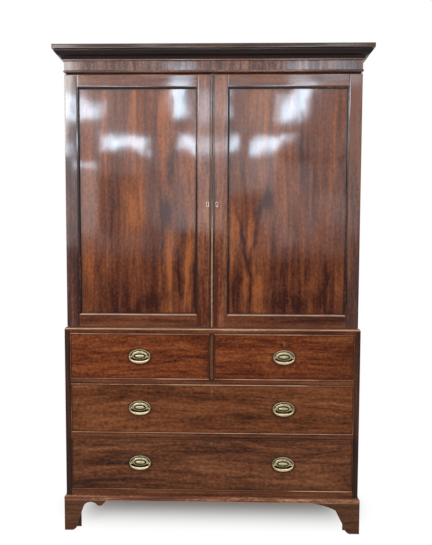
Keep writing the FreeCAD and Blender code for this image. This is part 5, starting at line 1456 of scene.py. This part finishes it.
def make_windows():
    """Each pane is a small grid, sheared by its slope and lean.  Its points know how deep in
    the pane they lie and how bright it is."""
    panes, quads, depths, shares = [], [], [], []
    blur = WINDOW_BLUR
    for number, (x0, x1, z0, z1, share, *tilt) in enumerate(WINDOWS):
        slope, lean = (tilt + [0.0, 0.0])[:2]
        points, faces = upright_grid(x0 - blur, x1 + blur, z0 - blur, z1 + blur,
                                     ROOM_Y + 0.05, 9, 9)
        depths.append(within(points, x0, x1, z0, z1, blur))
        shares.append(np.full(len(points), share))
        points[:, 2] += slope * (points[:, 0] - x0)
        points[:, 0] += lean * (points[:, 2] - (z0 + z1) / 2)
        points[:, 1] += 0.002 * number
        panes.append(points)
        quads.append(faces + number * len(points))
    return stage_mesh("windows", np.concatenate(panes), np.concatenate(quads), daylight(),
                      {"depth": np.concatenate(depths), "level": np.concatenate(shares)})


def make_room():
    """The bright side of a room that the polish mirrors, behind the camera and hidden from it:
    plaster lit from above, what stands before it, and windows.  It gives no soft light."""
    points, faces = upright_grid(-ROOM_HALF, ROOM_HALF, 0, ROOM_TALL, ROOM_Y, 129, 111)
    glow = np.interp(points[:, 2], *np.array(ROOM_LEVELS).T)
    for *rectangle, level in FURNISHINGS:
        share = within(points, *rectangle, FURNISHING_BLUR)
        glow = glow * (1 - share) + level * share
    wall = stage_mesh("room_wall", points, faces, lit_plaster("lit_plaster", "#f6f3f7"),
                      {"glow": glow})
    sides = [(x, y, z) for x in (-SIDE_WALL_X, SIDE_WALL_X)
             for y, z in ((ROOM_Y, 0), (SIDE_WALL_END, 0), (SIDE_WALL_END, ROOM_TALL),
                          (ROOM_Y, ROOM_TALL))]
    dim = stage_mesh("room_sides", sides, [(0, 1, 2, 3), (4, 5, 6, 7)],
                     lit_plaster("shaded_plaster", "#f4ece6"), {"glow": np.full(8, SIDE_WALL_GLOW)})
    for made in (wall, dim, make_windows()):
        made.visible_camera = made.visible_shadow = made.visible_diffuse = False
        made.data.materials[0].cycles.emission_sampling = "NONE"


def make_studio():
    """A white world and floor, the room, and one square lamp up on the left."""
    scene = bpy.context.scene
    scene.view_settings.view_transform = "Standard"
    world = bpy.data.worlds.new("studio")
    scene.world = world
    world.use_nodes = True
    tree = world.node_tree
    tree.nodes.clear()
    strength = add(tree, "MapRange", {"Value": direct_look(tree), "To Min": FILL_LEVEL,
                                      "To Max": 1.0})
    add(tree, "OutputWorld", (add(tree, "Background", {"Color": WHITE, "Strength": strength}),))
    corners = [(x * FLOOR_HALF, y * FLOOR_HALF, 0)
               for x, y in ((-1, -1), (1, -1), (1, 1), (-1, 1))]
    stage_mesh("floor", corners, [(0, 1, 2, 3)], floor_material())
    make_room()
    data = bpy.data.lights.new("key", "AREA")
    data.shape, data.size, data.energy = "SQUARE", KEY_SIZE, KEY_WATTS
    lamp = bpy.data.objects.new("key", data)
    lamp.location = KEY_PLACE
    toward = Vector(KEY_AIM) - Vector(KEY_PLACE)
    lamp.rotation_euler = toward.to_track_quat("-Z", "Y").to_euler()
    lamp.visible_camera = False
    scene.collection.objects.link(lamp)


make_studio()
